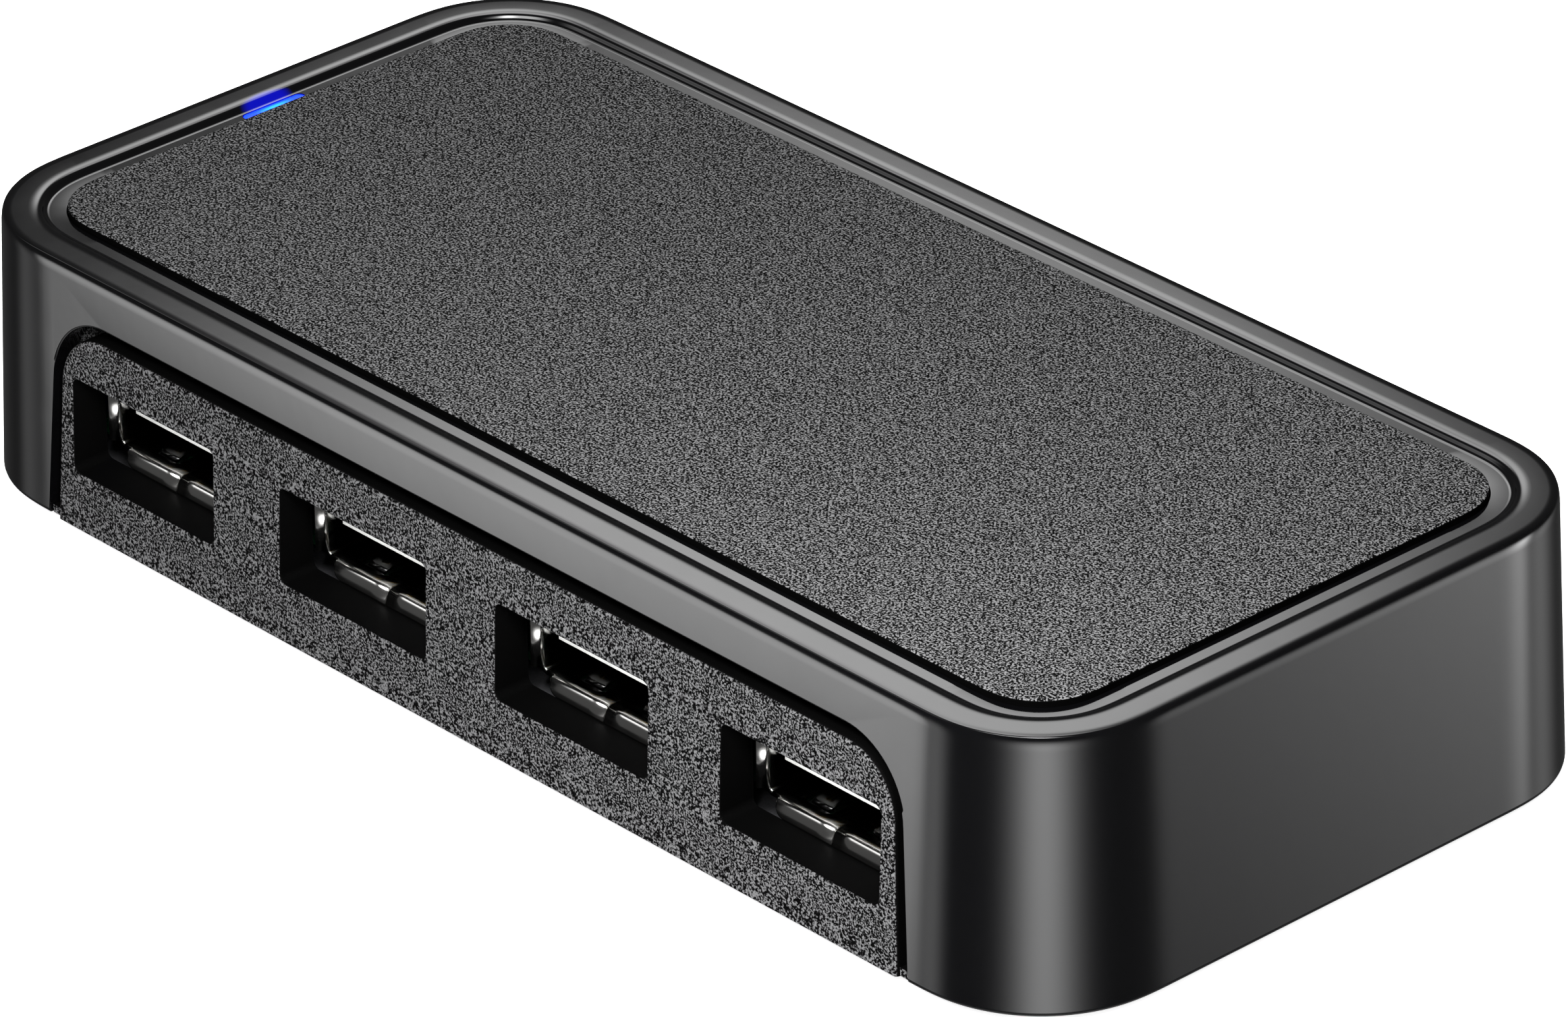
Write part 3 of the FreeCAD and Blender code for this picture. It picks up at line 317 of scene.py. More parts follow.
def make_world():
    world = bpy.data.worlds.new("studio")
    world.use_nodes = True
    tree = world.node_tree
    tree.nodes.clear()
    graph = Graph(tree)
    x, y, z = graph.axes(graph.node("ShaderNodeTexCoord").outputs["Generated"])
    degrees = 180.0 / math.pi
    azimuth = graph.math("MULTIPLY", graph.math("ARCTAN2", y, x), degrees)
    elevation = graph.math("MULTIPLY", graph.math("ARCSINE", z), degrees)
    total = STUDIO_BASE
    for az, el, wide, tall, bright, edge in SOFT_LIGHTS:
        across = graph.math("DIVIDE", graph.math("SUBTRACT", azimuth, az), wide)
        along = graph.math("DIVIDE", graph.math("SUBTRACT", elevation, el), tall)
        far = graph.math("POWER", graph.squares(across, along), edge)
        glow = graph.math("EXPONENT", graph.math("MULTIPLY", far, -1.0))
        total = graph.math("ADD", graph.math("MULTIPLY", glow, bright), total)
    seen = graph.node("ShaderNodeLightPath").outputs["Is Camera Ray"]
    strength = graph.math("ADD", graph.math("MULTIPLY", total, graph.math("SUBTRACT", 1.0, seen)), seen)
    background = graph.node("ShaderNodeBackground")
    tree.links.new(strength, background.inputs["Strength"])
    output = graph.node("ShaderNodeOutputWorld")
    tree.links.new(background.outputs[0], output.inputs["Surface"])
    bpy.context.scene.world = world


def make_floor():
    half = FLOOR_SIZE / 2 * MM
    mesh = bpy.data.meshes.new("floor")
    corners = [(-half, -half, 0), (half, -half, 0), (half, half, 0), (-half, half, 0)]
    mesh.from_pydata(corners, [], [(0, 1, 2, 3)])
    floor = bpy.data.objects.new("floor", mesh)
    bpy.context.scene.collection.objects.link(floor)
    material = bpy.data.materials.new("floor")
    material.use_nodes = True
    shader = material.node_tree.nodes["Principled BSDF"]
    shader.inputs["Base Color"].default_value = (0.9, 0.9, 0.9, 1.0)
    shader.inputs["Roughness"].default_value = 1.0
    shader.inputs["Emission Color"].default_value = (1.0, 1.0, 1.0, 1.0)
    shader.inputs["Emission Strength"].default_value = FLOOR_GLOW
    mesh.materials.append(material)
    floor.visible_glossy = False


def make_lamp():
    data = bpy.data.lights.new("near_lamp", "AREA")
    data.size = LAMP_SIZE * MM
    data.energy = LAMP_POWER
    lamp = bpy.data.objects.new("near_lamp", data)
    lamp.location = Vector(LAMP_PLACE) * MM
    lamp.rotation_euler = (Vector(LAMP_AIM) - Vector(LAMP_PLACE)).to_track_quat("-Z", "Y").to_euler()
    lamp.visible_glossy = False
    lamp.visible_camera = False
    bpy.context.scene.collection.objects.link(lamp)


def make_studio():
    make_world()
    make_floor()
    make_lamp()
    bpy.context.scene.view_settings.view_transform = "Standard"
    bpy.context.scene.view_settings.look = "None"


# ---------------------------------------------------------------- materials


def new_material(name, colour, roughness, metallic=0.0):
    material = bpy.data.materials.new(name)
    material.use_nodes = True
    graph = Graph(material.node_tree)
    shader = material.node_tree.nodes["Principled BSDF"]
    shader.inputs["Base Color"].default_value = (*colour, 1.0)
    shader.inputs["Roughness"].default_value = roughness
    shader.inputs["Metallic"].default_value = metallic
    return material, graph, shader.inputs


def gloss_plastic(name, colour, polish, light):
    """Mirror-smooth moulded plastic with faint flow marks, with a painted blue glow beside the status light
    for the lens's light spilling onto it.
    """
    material, graph, inputs = new_material(name, colour, polish)
    where = graph.place()
    x, y, z = graph.axes(where)
    # Painted glow: blue emission on the step and rim round the lens, standing for the light it spills onto
    # the case
    across = graph.math("DIVIDE", graph.math("SUBTRACT", x, light.x - GLOW_SHIFT), GLOW_HALF[0])
    along = graph.math("DIVIDE", graph.math("SUBTRACT", y, light.y), GLOW_HALF[1])
    painted_lens_glow = graph.ease(graph.squares(across, along), 0.35, 1.2, GLOW_STRENGTH, 0.0)
    above = graph.ease(z, STEP_LEVEL - 0.2, STEP_LEVEL - 0.05)
    inputs["Emission Color"].default_value = (0.0, 0.004, 1.0, 1.0)
    graph.put(inputs["Emission Strength"], graph.math("MULTIPLY", painted_lens_glow, above))
    flow = graph.noise(where, 0.25, 3.0)
    graph.put(inputs["Roughness"], graph.ease(flow, 0.3, 0.7, polish * 0.8, polish * 1.25))
    graph.put(inputs["Normal"], graph.bump(graph.noise(where, 0.6, 1.0), 0.0006))
    return material


def grained_plastic(name, axis, sign, dark, light, polish):
    """Spark-etched plastic on the face that looks along an axis, smooth and black elsewhere."""
    material, graph, inputs = new_material(name, dark, polish)
    where = graph.place()
    facing = graph.math("MULTIPLY", graph.facing(axis), sign)
    inputs["Specular IOR Level"].default_value = GRAIN_SHINE
    etched = graph.ease(facing, 0.55, 0.85)
    fine = graph.math("MULTIPLY", graph.noise(where, GRAIN_FINE, 1.0, 0.6), 1 - GRAIN_COARSE_SHARE)
    coarse = graph.math("MULTIPLY", graph.noise(where, GRAIN_COARSE, 2.0), GRAIN_COARSE_SHARE)
    grain = graph.math("ADD", fine, coarse)
    speck = graph.ease(grain, *GRAIN_RANGE)
    graph.put(inputs["Base Color"], graph.mix(graph.math("MULTIPLY", speck, etched), dark, light))
    rough = graph.ease(grain, 0.35, 0.65, 0.5, 0.3)
    smooth = graph.math("MULTIPLY", graph.math("SUBTRACT", 1.0, etched), polish)
    graph.put(inputs["Roughness"], graph.math("ADD", graph.math("MULTIPLY", rough, etched), smooth))
    graph.put(inputs["Normal"], graph.bump(graph.math("MULTIPLY", grain, etched), GRAIN_RELIEF))
    return material


def matte_plastic(name, colour, roughness, grain=3.0, relief=0.01):
    """Ordinary moulded plastic or rubber with fine grain and uneven sheen."""
    material, graph, inputs = new_material(name, colour, roughness)
    where = graph.place()
    cloud = graph.noise(where, 0.35, 3.0)
    grains = graph.noise(where, grain, 2.0)
    darker = tuple(c * 0.7 for c in colour)
    lighter = tuple(min(1.0, c * 1.35) for c in colour)
    graph.put(inputs["Base Color"], graph.mix(graph.ease(cloud, 0.3, 0.7), darker, lighter))
    dullest = min(1.0, roughness * 1.15)
    graph.put(inputs["Roughness"], graph.ease(grains, 0.3, 0.7, roughness * 0.85, dullest))
    graph.put(inputs["Normal"], graph.bump(grains, relief))
    return material


def tongue_plastic(name, mouth):
    """Pale moulded plastic at the tongue's tip, with painted shade making it darker the deeper it lies
    inside the socket.
    """
    pale = (0.7, 0.7, 0.68)
    material, graph, inputs = new_material(name, pale, 0.35)
    where = graph.place()
    depth = graph.math("SUBTRACT", graph.axes(where)[1], mouth)
    cloud = graph.ease(graph.noise(where, 0.5, 3.0), 0.3, 0.7, 0.0, 0.6)
    # Painted shade: near black from 1.5 to 3 mm inside the mouth onwards, with a wavering edge
    painted_shade = graph.ease(graph.math("ADD", depth, cloud), 1.5, 3.0)
    graph.put(inputs["Base Color"], graph.mix(painted_shade, pale, (0.002, 0.002, 0.002)))
    graph.put(inputs["Roughness"], graph.ease(graph.noise(where, 4.0, 2.0), 0.3, 0.7, 0.3, 0.42))
    return material


def metal(name, colour, roughness, stretch=(1.0, 1.0, 1.0), relief=0.002):
    """Plated metal with rolling lines along the stretched axis and slight tarnish."""
    material, graph, inputs = new_material(name, colour, roughness, 1.0)
    lines = graph.noise(graph.place(stretch), 4.0, 3.0, 0.6)
    tarnish = graph.noise(graph.place(), 0.8, 3.0)
    dull = tuple(c * 0.82 for c in colour)
    graph.put(inputs["Base Color"], graph.mix(graph.ease(tarnish, 0.35, 0.7), colour, dull))
    graph.put(inputs["Roughness"], graph.ease(lines, 0.3, 0.7, roughness * 0.75, roughness * 1.3))
    graph.put(inputs["Normal"], graph.bump(lines, relief))
    return material


def socket_metal(name, mouth):
    """Tinned steel sheet, bright at the lips, with painted shade making it darker the deeper it lies inside
    the socket.
    """
    colour = (0.78, 0.77, 0.75)
    material, graph, inputs = new_material(name, colour, 0.16, 1.0)
    depth = graph.math("SUBTRACT", graph.axes(graph.place())[1], mouth)
    lines = graph.noise(graph.place((0.12, 1.0, 1.0)), 4.0, 3.0, 0.6)
    # Painted shade: the steel's colour falls to dark grey from about half a millimetre behind the mouth
    painted_shade = graph.ease(graph.math("ADD", depth, graph.math("MULTIPLY", lines, 0.1)), 0.42, 0.95)
    graph.put(inputs["Base Color"], graph.mix(painted_shade, colour, (0.13, 0.13, 0.13)))
    graph.put(inputs["Roughness"], graph.ease(lines, 0.3, 0.7, 0.12, 0.2))
    graph.put(inputs["Normal"], graph.bump(lines, 0.0004))
    return material


def board_laminate(name):
    """Green solder mask over copper tracks."""
    mask, copper, bare = (0.001, 0.016, 0.006), (0.003, 0.035, 0.012), (0.001, 0.011, 0.004)
    material, graph, inputs = new_material(name, mask, 0.3)
    where = graph.place()
    blocks = graph.node("ShaderNodeTexBrick")
    graph.put(blocks.inputs["Vector"], where)
    blocks.inputs["Scale"].default_value = 0.35
    blocks.inputs["Mortar Size"].default_value = 0.03
    tracks = blocks.outputs["Fac"]
    weave = graph.noise(where, 4.0, 2.0)
    ground = graph.mix(graph.ease(weave, 0.3, 0.7), bare, mask)
    graph.put(inputs["Base Color"], graph.mix(tracks, ground, copper))
    graph.put(inputs["Roughness"], graph.ease(weave, 0.3, 0.7, 0.25, 0.38))
    graph.put(inputs["Normal"], graph.bump(tracks, 0.03))
    return material


def glowing_lens(name, centre, half_length):
    """Clear lens lit from below: cyan along its inner edge and pure blue at its ends."""
    material, graph, inputs = new_material(name, (0.01, 0.05, 0.4), 0.15)
    x, y, _ = graph.axes(graph.place())
    across = graph.math("SUBTRACT", x, centre.x)
    along = graph.math("ABSOLUTE", graph.math("SUBTRACT", y, centre.y))
    middle = graph.ease(along, 0.0, half_length * 0.7, 1.0, 0.0)
    inner = graph.ease(across, -0.3, 0.0)
    flare = graph.math("MULTIPLY", inner, middle)
    glints = graph.noise(graph.place(), 3.0, 2.0)
    inputs["Specular IOR Level"].default_value = 0.1
    graph.put(inputs["Emission Color"], graph.mix(flare, (0.0, 0.002, 0.8), (0.002, 0.17, 1.0)))
    graph.put(inputs["Emission Strength"], graph.ease(glints, 0.2, 0.8, 3.6, 4.2))
    graph.put(inputs["Normal"], graph.bump(glints, 0.004))
    return material


# ---------------------------------------------------------------- mesh helpers


def new_piece(name, bm, material, slot, *nodes, sharp=35.0, ride="root"):
    """Turns a mesh in millimetres into a finished piece that stands for the CAD nodes named."""
    bmesh.ops.recalc_face_normals(bm, faces=bm.faces)
    bmesh.ops.scale(bm, vec=(MM, MM, MM), verts=bm.verts)
    mesh = bpy.data.meshes.new(name)
    bm.to_mesh(mesh)
    bm.free()
    mesh.shade_smooth()
    mesh.set_sharp_from_angle(angle=math.radians(sharp))
    mesh.materials.append(material)
    piece = bpy.data.objects.new(name, mesh)
    bpy.context.scene.collection.objects.link(piece)
    weights = piece.modifiers.new("even_shading", "WEIGHTED_NORMAL")
    weights.keep_sharp = True
    weights.weight = 80
    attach(piece, ride)
    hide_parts(*nodes)
    return piece


def bridge(bm, rings, closed=True):
    """Quads between each ring of vertices and the next."""
    for first, second in zip(rings, rings[1:]):
        count = len(first)
        for k in range(count if closed else count - 1):
            following = (k + 1) % count
            bm.faces.new((first[k], first[following], second[following], second[k]))


def loft(bm, rings, cap=True):
    """A closed skin through rings of points, capped at both ends."""
    made = [[bm.verts.new(p) for p in ring] for ring in rings]
    bridge(bm, made)
    if cap:
        bm.faces.new(made[0])
        bm.faces.new(made[-1])
    return made


def eased(corners):
    """A polyline of (x, y, ease before, ease after) with each corner drawn as a soft curve."""
    points = []
    for k, (x, y, before, after) in enumerate(corners):
        corner = Vector((x, y))
        if not before:
            points.append(corner)
            continue
        start = corner + (Vector(corners[k - 1][:2]) - corner).normalized() * before
        end = corner + (Vector(corners[k + 1][:2]) - corner).normalized() * after
        first, second = start.lerp(corner, 0.7), end.lerp(corner, 0.7)
        for step in range(EASE_STEPS + 1):
            t = step / EASE_STEPS
            s = 1 - t
            points.append(start * s**3 + first * 3 * s * s * t + second * 3 * s * t * t + end * t**3)
    return points


def soft_quarter():
    """A quarter turn whose curvature grows and fades smoothly, as (x, y, heading) from the origin."""
    between = 20
    fine = CORNER_STEPS * between
    weights = []
    for k in range(fine):
        t = (k + 0.5) / fine
        edge = min(1.0, min(t, 1 - t) / CORNER_RAMP)
        weights.append(edge * edge * (3 - 2 * edge))
    turn = math.pi / 2 / sum(weights)
    x = y = heading = 0.0
    points = [(x, y, heading)]
    for k, weight in enumerate(weights, start=1):
        middle = heading + weight * turn / 2
        x += math.cos(middle) / fine
        y += math.sin(middle) / fine
        heading += weight * turn
        if k % between == 0:
            points.append((x, y, heading))
    return points


def case_outline():
    """The case's outline at its bottom edge, as (point, outward normal)."""
    quarter = soft_quarter()
    reach = quarter[-1][0]
    middle = quarter[CORNER_STEPS // 2]
    shortfall = math.hypot(reach - middle[0], middle[1])
    scale = CASE_CORNER * (math.sqrt(2) - 1) / shortfall
    outline = []
    for side in range(4):
        half_x, half_y = (HALF_LENGTH, HALF_WIDTH) if side % 2 == 0 else (HALF_WIDTH, HALF_LENGTH)
        turn = Matrix.Rotation(side * math.pi / 2, 2)
        for x, y, heading in quarter:
            point = Vector((half_x - (reach - x) * scale, -half_y + y * scale))
            outline.append((turn @ point, turn @ Vector((math.sin(heading), -math.cos(heading)))))
    return outline


OUTLINE = case_outline()


def case_ring(inset, level):
    """The case's outline moved in by an inset, at a level."""
    return [(p.x - n.x * inset, p.y - n.y * inset, level) for p, n in OUTLINE]


def prism(name, outline, axis, low, high):
    """A cutter: an outline swept along an axis."""
    place = {
        "Y": lambda u, v, w: (u, w, v),
        "Z": lambda u, v, w: (u, v, w),
    }[axis]
    bm = bmesh.new()
    loft(bm, [[place(u, v, w) for u, v in outline] for w in (low, high)])
    bmesh.ops.recalc_face_normals(bm, faces=bm.faces)
    mesh = bpy.data.meshes.new(name)
    bm.to_mesh(mesh)
    bm.free()
    cutter = bpy.data.objects.new(name, mesh)
    bpy.context.scene.collection.objects.link(cutter)
    return cutter


def cut_away(bm, cutters):
    """Takes the cutters out of a mesh, in millimetres, and returns the new mesh."""
    bmesh.ops.recalc_face_normals(bm, faces=bm.faces)
    mesh = bpy.data.meshes.new("uncut")
    bm.to_mesh(mesh)
    bm.free()
    body = bpy.data.objects.new("uncut", mesh)
    bpy.context.scene.collection.objects.link(body)
    for cutter in cutters:
        step = body.modifiers.new(cutter.name, "BOOLEAN")
        step.operation = "DIFFERENCE"
        step.solver = "EXACT"
        step.object = cutter
    done = body.evaluated_get(bpy.context.evaluated_depsgraph_get())
    result = bmesh.new()
    result.from_mesh(done.to_mesh())
    for item in [body, *cutters]:
        data = item.data
        bpy.data.objects.remove(item)
        bpy.data.meshes.remove(data)
    return result


def arc(x, y, radius, start, end, steps):
    """Points along an arc, from one angle in degrees to another."""
    angles = [math.radians(start + (end - start) * k / steps) for k in range(steps + 1)]
    return [(x + radius * math.cos(a), y + radius * math.sin(a)) for a in angles]


def circle(x, y, radius, count):
    """Points once round a circle, without repeating the first."""
    return arc(x, y, radius, 0, 360 * (count - 1) / count, count - 1)


def rounded_box(x0, x1, y0, y1, radius, steps=6):
    """A rectangle's outline with rounded corners."""
    return (
        arc(x1 - radius, y0 + radius, radius, -90, 0, steps)
        + arc(x1 - radius, y1 - radius, radius, 0, 90, steps)
        + arc(x0 + radius, y1 - radius, radius, 90, 180, steps)
        + arc(x0 + radius, y0 + radius, radius, 180, 270, steps)
    )


def soften(bm, width, test):
    """Rounds the sharp edges that pass the test."""
    edges = [
        e for e in bm.edges
        if len(e.link_faces) == 2 and e.calc_face_angle() > 0.9 and all(test(v.co) for v in e.verts)
    ]
    bmesh.ops.bevel(
        bm, geom=edges, offset=width, segments=3, profile=0.5, affect="EDGES", clamp_overlap=False,
    )


# ---------------------------------------------------------------- case


def wall_level(z):
    """How far in the outer wall has leaned at a level."""
    return CASE_LEAN * (z - FLOOR_LEVEL) / (CASE_TOP - FLOOR_LEVEL)


def case_openings():
    """Cutters for the front notch, the lens's slot and the two inlets at the back."""
    floor, top = FLOOR_LEVEL, CASE_TOP
    low = NOTCH_HALF + NOTCH_FLARE
    corner = NOTCH_CORNER
    notch = [(-low - 0.05, floor - 1), (low + 0.05, floor - 1)]
    notch += arc(NOTCH_HALF - corner, floor + NOTCH_HEIGHT - corner, corner, 3, 90, 16)
    notch += arc(-NOTCH_HALF + corner, floor + NOTCH_HEIGHT - corner, corner, 90, 177, 16)
    lens_low, lens_high = corners_of("light_pipe")
    slot = rounded_box(
        lens_low.x - LENS_GAP, lens_high.x + LENS_GAP,
        lens_low.y - LENS_GAP, lens_high.y + LENS_GAP, LENS_SLOT_CORNER,
    )
    mini_low, mini_high = corners_of("mini_b_shell")
    mini = rounded_box(
        mini_low.x - MINI_CLEARANCE, mini_high.x + MINI_CLEARANCE,
        mini_low.z - MINI_CLEARANCE, mini_high.z + MINI_CLEARANCE, MINI_CORNER,
    )
    jack_low, jack_high = corners_of("dc_jack_pin")
    middle = (jack_low + jack_high) / 2
    jack = circle(middle.x, middle.z, JACK_RADIUS, 48)
    back = HALF_WIDTH + 2
    return [
        prism("notch", notch, "Y", -back, NOTCH_DEPTH - HALF_WIDTH),
        prism("slot", slot, "Z", floor + CEILING - 1, top + 1),
        prism("mini_opening", mini, "Y", HALF_WIDTH - 5, back),
        prism("jack_opening", jack, "Y", HALF_WIDTH - 5, back),
    ]


def make_case(gloss):
    rim = CASE_LEAN + UPPER_RIM
    foot = CASE_LEAN + RIM_FOOT
    pocket = CASE_LEAN + POCKET_INSET
    floor, top = FLOOR_LEVEL, CASE_TOP
    profile = eased([
        (CASE_WALL + CAVITY_LEAN, floor + CEILING, 0, 0),
        (CASE_WALL, floor, 0, 0),
        (0, floor, *BOTTOM_ROUND),
        (CASE_LEAN, top - CROWN_DROP, *TOP_ROUND),
        (CASE_LEAN + CROWN_WIDTH, top, *CROWN_ROUND),
        (rim, top, *RIM_ROUND),
        (foot, STEP_LEVEL, *FOOT_ROUND),
        (pocket, STEP_LEVEL, *POCKET_ROUND),
        (pocket, STEP_LEVEL - POCKET_DEPTH, 0, 0),
    ])
    bm = bmesh.new()
    loft(bm, [case_ring(inset, level) for inset, level in profile])

    bm = cut_away(bm, case_openings())
    near = 0.02
    notch_top = floor + NOTCH_HEIGHT
    arc_start = notch_top - NOTCH_CORNER + 0.8
    soften(bm, EDGE_BEVEL, lambda p: (
        abs(p.y + HALF_WIDTH - wall_level(p.z)) < near and arc_start < p.z < notch_top + 0.1
    ))
    soften(bm, EDGE_BEVEL, lambda p: (
        abs(HALF_WIDTH - wall_level(p.z) - p.y) < near and floor + 3 < p.z < notch_top
    ))
    boss_end = CEILING + BOSS_OVERLAP
    tube = [
        (BOSS_BORE, BOSS_START), (BOSS_RADIUS, BOSS_START),
        (BOSS_RADIUS, boss_end), (BOSS_BORE, boss_end),
    ]
    for side in (-1, 1):
        rings = [
            [(x, y, floor + level) for x, y in circle(BOSS_ACROSS * side, 0, radius, 24)]
            for radius, level in tube
        ]
        loft(bm, rings + rings[:1], cap=False)
    return new_piece("case_shell", bm, gloss, "gloss_case", "top_shell")


def make_insert(etched):
    inset = CASE_LEAN + INSERT_INSET
    bottom, top = INSERT_LOW.z, INSERT_HIGH.z
    profile = eased([(inset, bottom, 0, 0), (inset, top, *INSERT_ROUND), (inset + 3, top, 0, 0)])
    bm = bmesh.new()
    loft(bm, [case_ring(i, level) for i, level in profile])
    return new_piece("textured_insert", bm, etched, "textured_plastic", "top_inlay")


def make_lens(glow):
    """Pill-shaped lens with a slightly domed top."""
    low, high = corners_of("light_pipe")
    bm = bmesh.new()
    half = (high.x - low.x) / 2 * 0.98
    dome = [(0, 0.1), (0.02, 0.04), (0.09, 0.01), (0.2, 0), (0.36, 0)]
    rings = []
    for inset, level in [(0, low.z)] + [(inset, high.z - drop) for inset, drop in dome]:
        outline = rounded_box(
            low.x + inset, high.x - inset, low.y + inset, high.y - inset, half - inset, 8,
        )
        rings.append([(x, y, level) for x, y in outline])
    loft(bm, rings)
    return new_piece("status_lens", bm, glow, "light_lens", "light_pipe")


def make_feet(rubber):
    """Rubber discs with rounded edges and a shallow ring moulded in the tread."""
    low, high = corners_of("rubber_feet")
    radius, inner, outer = FOOT_RADIUS, *FOOT_RING
    bm = bmesh.new()
    profile = eased([
        (0.05, low.z + FOOT_HOLLOW, 0, 0), (inner, low.z + FOOT_HOLLOW, 0.15, 0.15),
        (outer, low.z, 0.12, 0.12), (radius, low.z, 0.2, 0.2),
        (radius, high.z, 0.1, 0.1), (0.05, high.z, 0, 0),
    ])
    for x in (low.x + radius, high.x - radius):
        for y in (low.y + radius, high.y - radius):
            loft(bm, [[(u, v, level) for u, v in circle(x, y, r, 48)] for r, level in profile])
    return new_piece("foot_pads", bm, rubber, "foot_rubber", "rubber_feet")


def make_case_screws(steel):
    """Pan-head screws with a crossed drive recess, seen from below, and a thread on the shank."""
    low, high = corners_of("case_screws")
    head, radius, seat = SCREW_HEAD, SCREW_RADIUS, low.z + SCREW_SEAT
    middle = (low.x + high.x) / 2
    reach = (high.x - low.x) / 2 - head
    bm = bmesh.new()
    profile = eased([
        (0.05, low.z, 0, 0), (head, low.z, 0.7, 0.45), (head, seat, 0.08, 0.08), (radius, seat, 0, 0),
    ])
    for k in range(THREAD_TURNS):
        groove = THREAD_DEPTH if k % 2 else 0.0
        profile.append(Vector((radius - groove, seat + THREAD_START + THREAD_STEP * k)))
    profile.append(Vector((0.4, high.z)))
    for side in (-1, 1):
        x = middle + reach * side
        loft(bm, [[(u, v, z) for u, v in circle(x, 0, r, 24)] for r, z in profile])
    cutters = []
    for side in (-1, 1):
        x = middle + reach * side
        for wide, deep in ((DRIVE_REACH, DRIVE_HALF), (DRIVE_HALF, DRIVE_REACH)):
            cutters.append(prism("drive", [
                (x - wide, -deep), (x + wide, -deep), (x + wide, deep), (x - wide, deep),
            ], "Z", low.z - 1, low.z + DRIVE_DEPTH))
    bm = cut_away(bm, cutters)
    return new_piece("drive_screws", bm, steel, "screw_steel", "case_screws")


# ---------------------------------------------------------------- receptacles


def mouth_path():
    """The tube's inner outline from one side of the seam round to the other, as (x, z, normal)."""
    half, height, bend = MOUTH_WIDTH / 2, MOUTH_HEIGHT, MOUTH_BEND
    stops = [0.0]
    for edge in (FINGER_ACROSS - FINGER_HALF, FINGER_ACROSS + FINGER_HALF):
        slit = -FINGER_SLIT if edge < FINGER_ACROSS else FINGER_SLIT
        stops += sorted((edge, edge + slit))
    stops += [LIP_HALF - LIP_CORNER * part for part in (1.0, 0.7, 0.4, 0.2, 0.07, 0.0)] + [half - bend]
    path = [(max(x, SEAM_HALF), 0.0, (0, -1)) for x in stops]
    path += [(x, z, (math.cos(a), math.sin(a))) for (x, z), a in bend_points(half - bend, bend, -90)]
    path.append((half, height / 2, (1, 0)))
    path += [(x, z, (math.cos(a), math.sin(a))) for (x, z), a in bend_points(half - bend, height - bend, 0)]
    path += [(x, height, (0, 1)) for x in reversed(stops)][1:]
    mirrored = [(-x, z, (-n[0], n[1])) for x, z, n in reversed(path)][1:]
    return path + mirrored


def bend_points(x, z, start):
    """Points round one bend of the tube with their angles, from a start angle in degrees."""
    steps = 5
    angles = [math.radians(start + 90 * k / steps) for k in range(steps + 1)]
    return [((x + MOUTH_BEND * math.cos(a), z + MOUTH_BEND * math.sin(a)), a) for a in angles]


def on_finger(x, z, grow=0.0):
    """Whether a point of the outline lies on a spring finger, or within some distance beside it."""
    flat = min(abs(z), abs(z - MOUTH_HEIGHT)) < 0.01
    return flat and abs(abs(x) - FINGER_ACROSS) < FINGER_HALF + grow + 0.01


def lip_at(x, z):
    """Which flared lip a point of the outline belongs to, if any."""
    half = MOUTH_WIDTH / 2
    if abs(z) < 0.01 and abs(x) < LIP_HALF + 0.01:
        return "bottom_left" if x < 0 else "bottom_right"
    if abs(z - MOUTH_HEIGHT) < 0.01 and abs(x) < LIP_HALF + 0.01:
        return "top"
    if abs(abs(x) - half) < 0.001:
        return "left" if x < 0 else "right"
    return None


def lip_point(spread, part):
    """Where a lip is after this part of its length, as (distance ahead, distance aside)."""
    steep = math.atan2(spread, LIP_DEPTH)
    angle = steep * min(1.0, part / LIP_TURN)
    ahead, aside = LIP_BEND * math.sin(angle), LIP_BEND * (1 - math.cos(angle))
    rest = max(0.0, (part - LIP_TURN) / (1 - LIP_TURN))
    bulge = LIP_BULGE * math.sin(math.pi * rest)
    return (
        ahead + (LIP_DEPTH - ahead) * rest + bulge * math.sin(steep),
        aside + (spread - aside) * rest - bulge * math.cos(steep),
    )


def lip_reach(x):
    """How much of the lip's length stands at a place across it, for rounded front corners."""
    over = max(0.0, abs(x) - LIP_HALF + LIP_CORNER)
    missing = LIP_CORNER - math.sqrt(max(0.0, LIP_CORNER**2 - over**2))
    return 1 - missing / math.hypot(LIP_DEPTH, LIP_SPREAD)


def make_tube(bm, path, base):
    """The tube with its slits left open and its fingers sprung in. Returns its front row."""
    across, front, level = base
    tip, root = FINGER_TIP, FINGER_ROOT
    depths = [LIP_DEPTH, LIP_DEPTH + LIP_ROOT, tip - FINGER_SLIT]
    depths += [tip + station for station in FINGER_STATIONS] + [root, SOCKET_DEPTH]
    rows = []
    for depth in depths:
        row = []
        for x, z, (nx, nz) in path:
            inward = 0.0
            if on_finger(x, z) and tip - 0.01 < depth < root - 0.01:
                inward = FINGER_RISE * math.sin(math.pi * ((depth - tip) / (root - tip)) ** 0.6)
                if depth < tip + FINGER_NOSE:
                    middle = math.copysign(FINGER_ACROSS, x)
                    taper = FINGER_TAPER[0] if depth < tip + 0.1 else FINGER_TAPER[1]
                    x = middle + (x - middle) * taper
            row.append(bm.verts.new((across + x - nx * inward, front + depth, level + z - nz * inward)))
        rows.append(row)
    for j in range(len(depths) - 1):
        for k in range(len(path) - 1):
            x = (path[k][0] + path[k + 1][0]) / 2
            z = (path[k][1] + path[k + 1][1]) / 2
            middle = (depths[j] + depths[j + 1]) / 2
            in_band = on_finger(x, z, FINGER_SLIT) and tip - FINGER_SLIT < middle < root
            if in_band and not (on_finger(x, z) and middle > tip):
                continue
            bm.faces.new((rows[j][k], rows[j][k + 1], rows[j + 1][k + 1], rows[j + 1][k]))
    return rows[0]


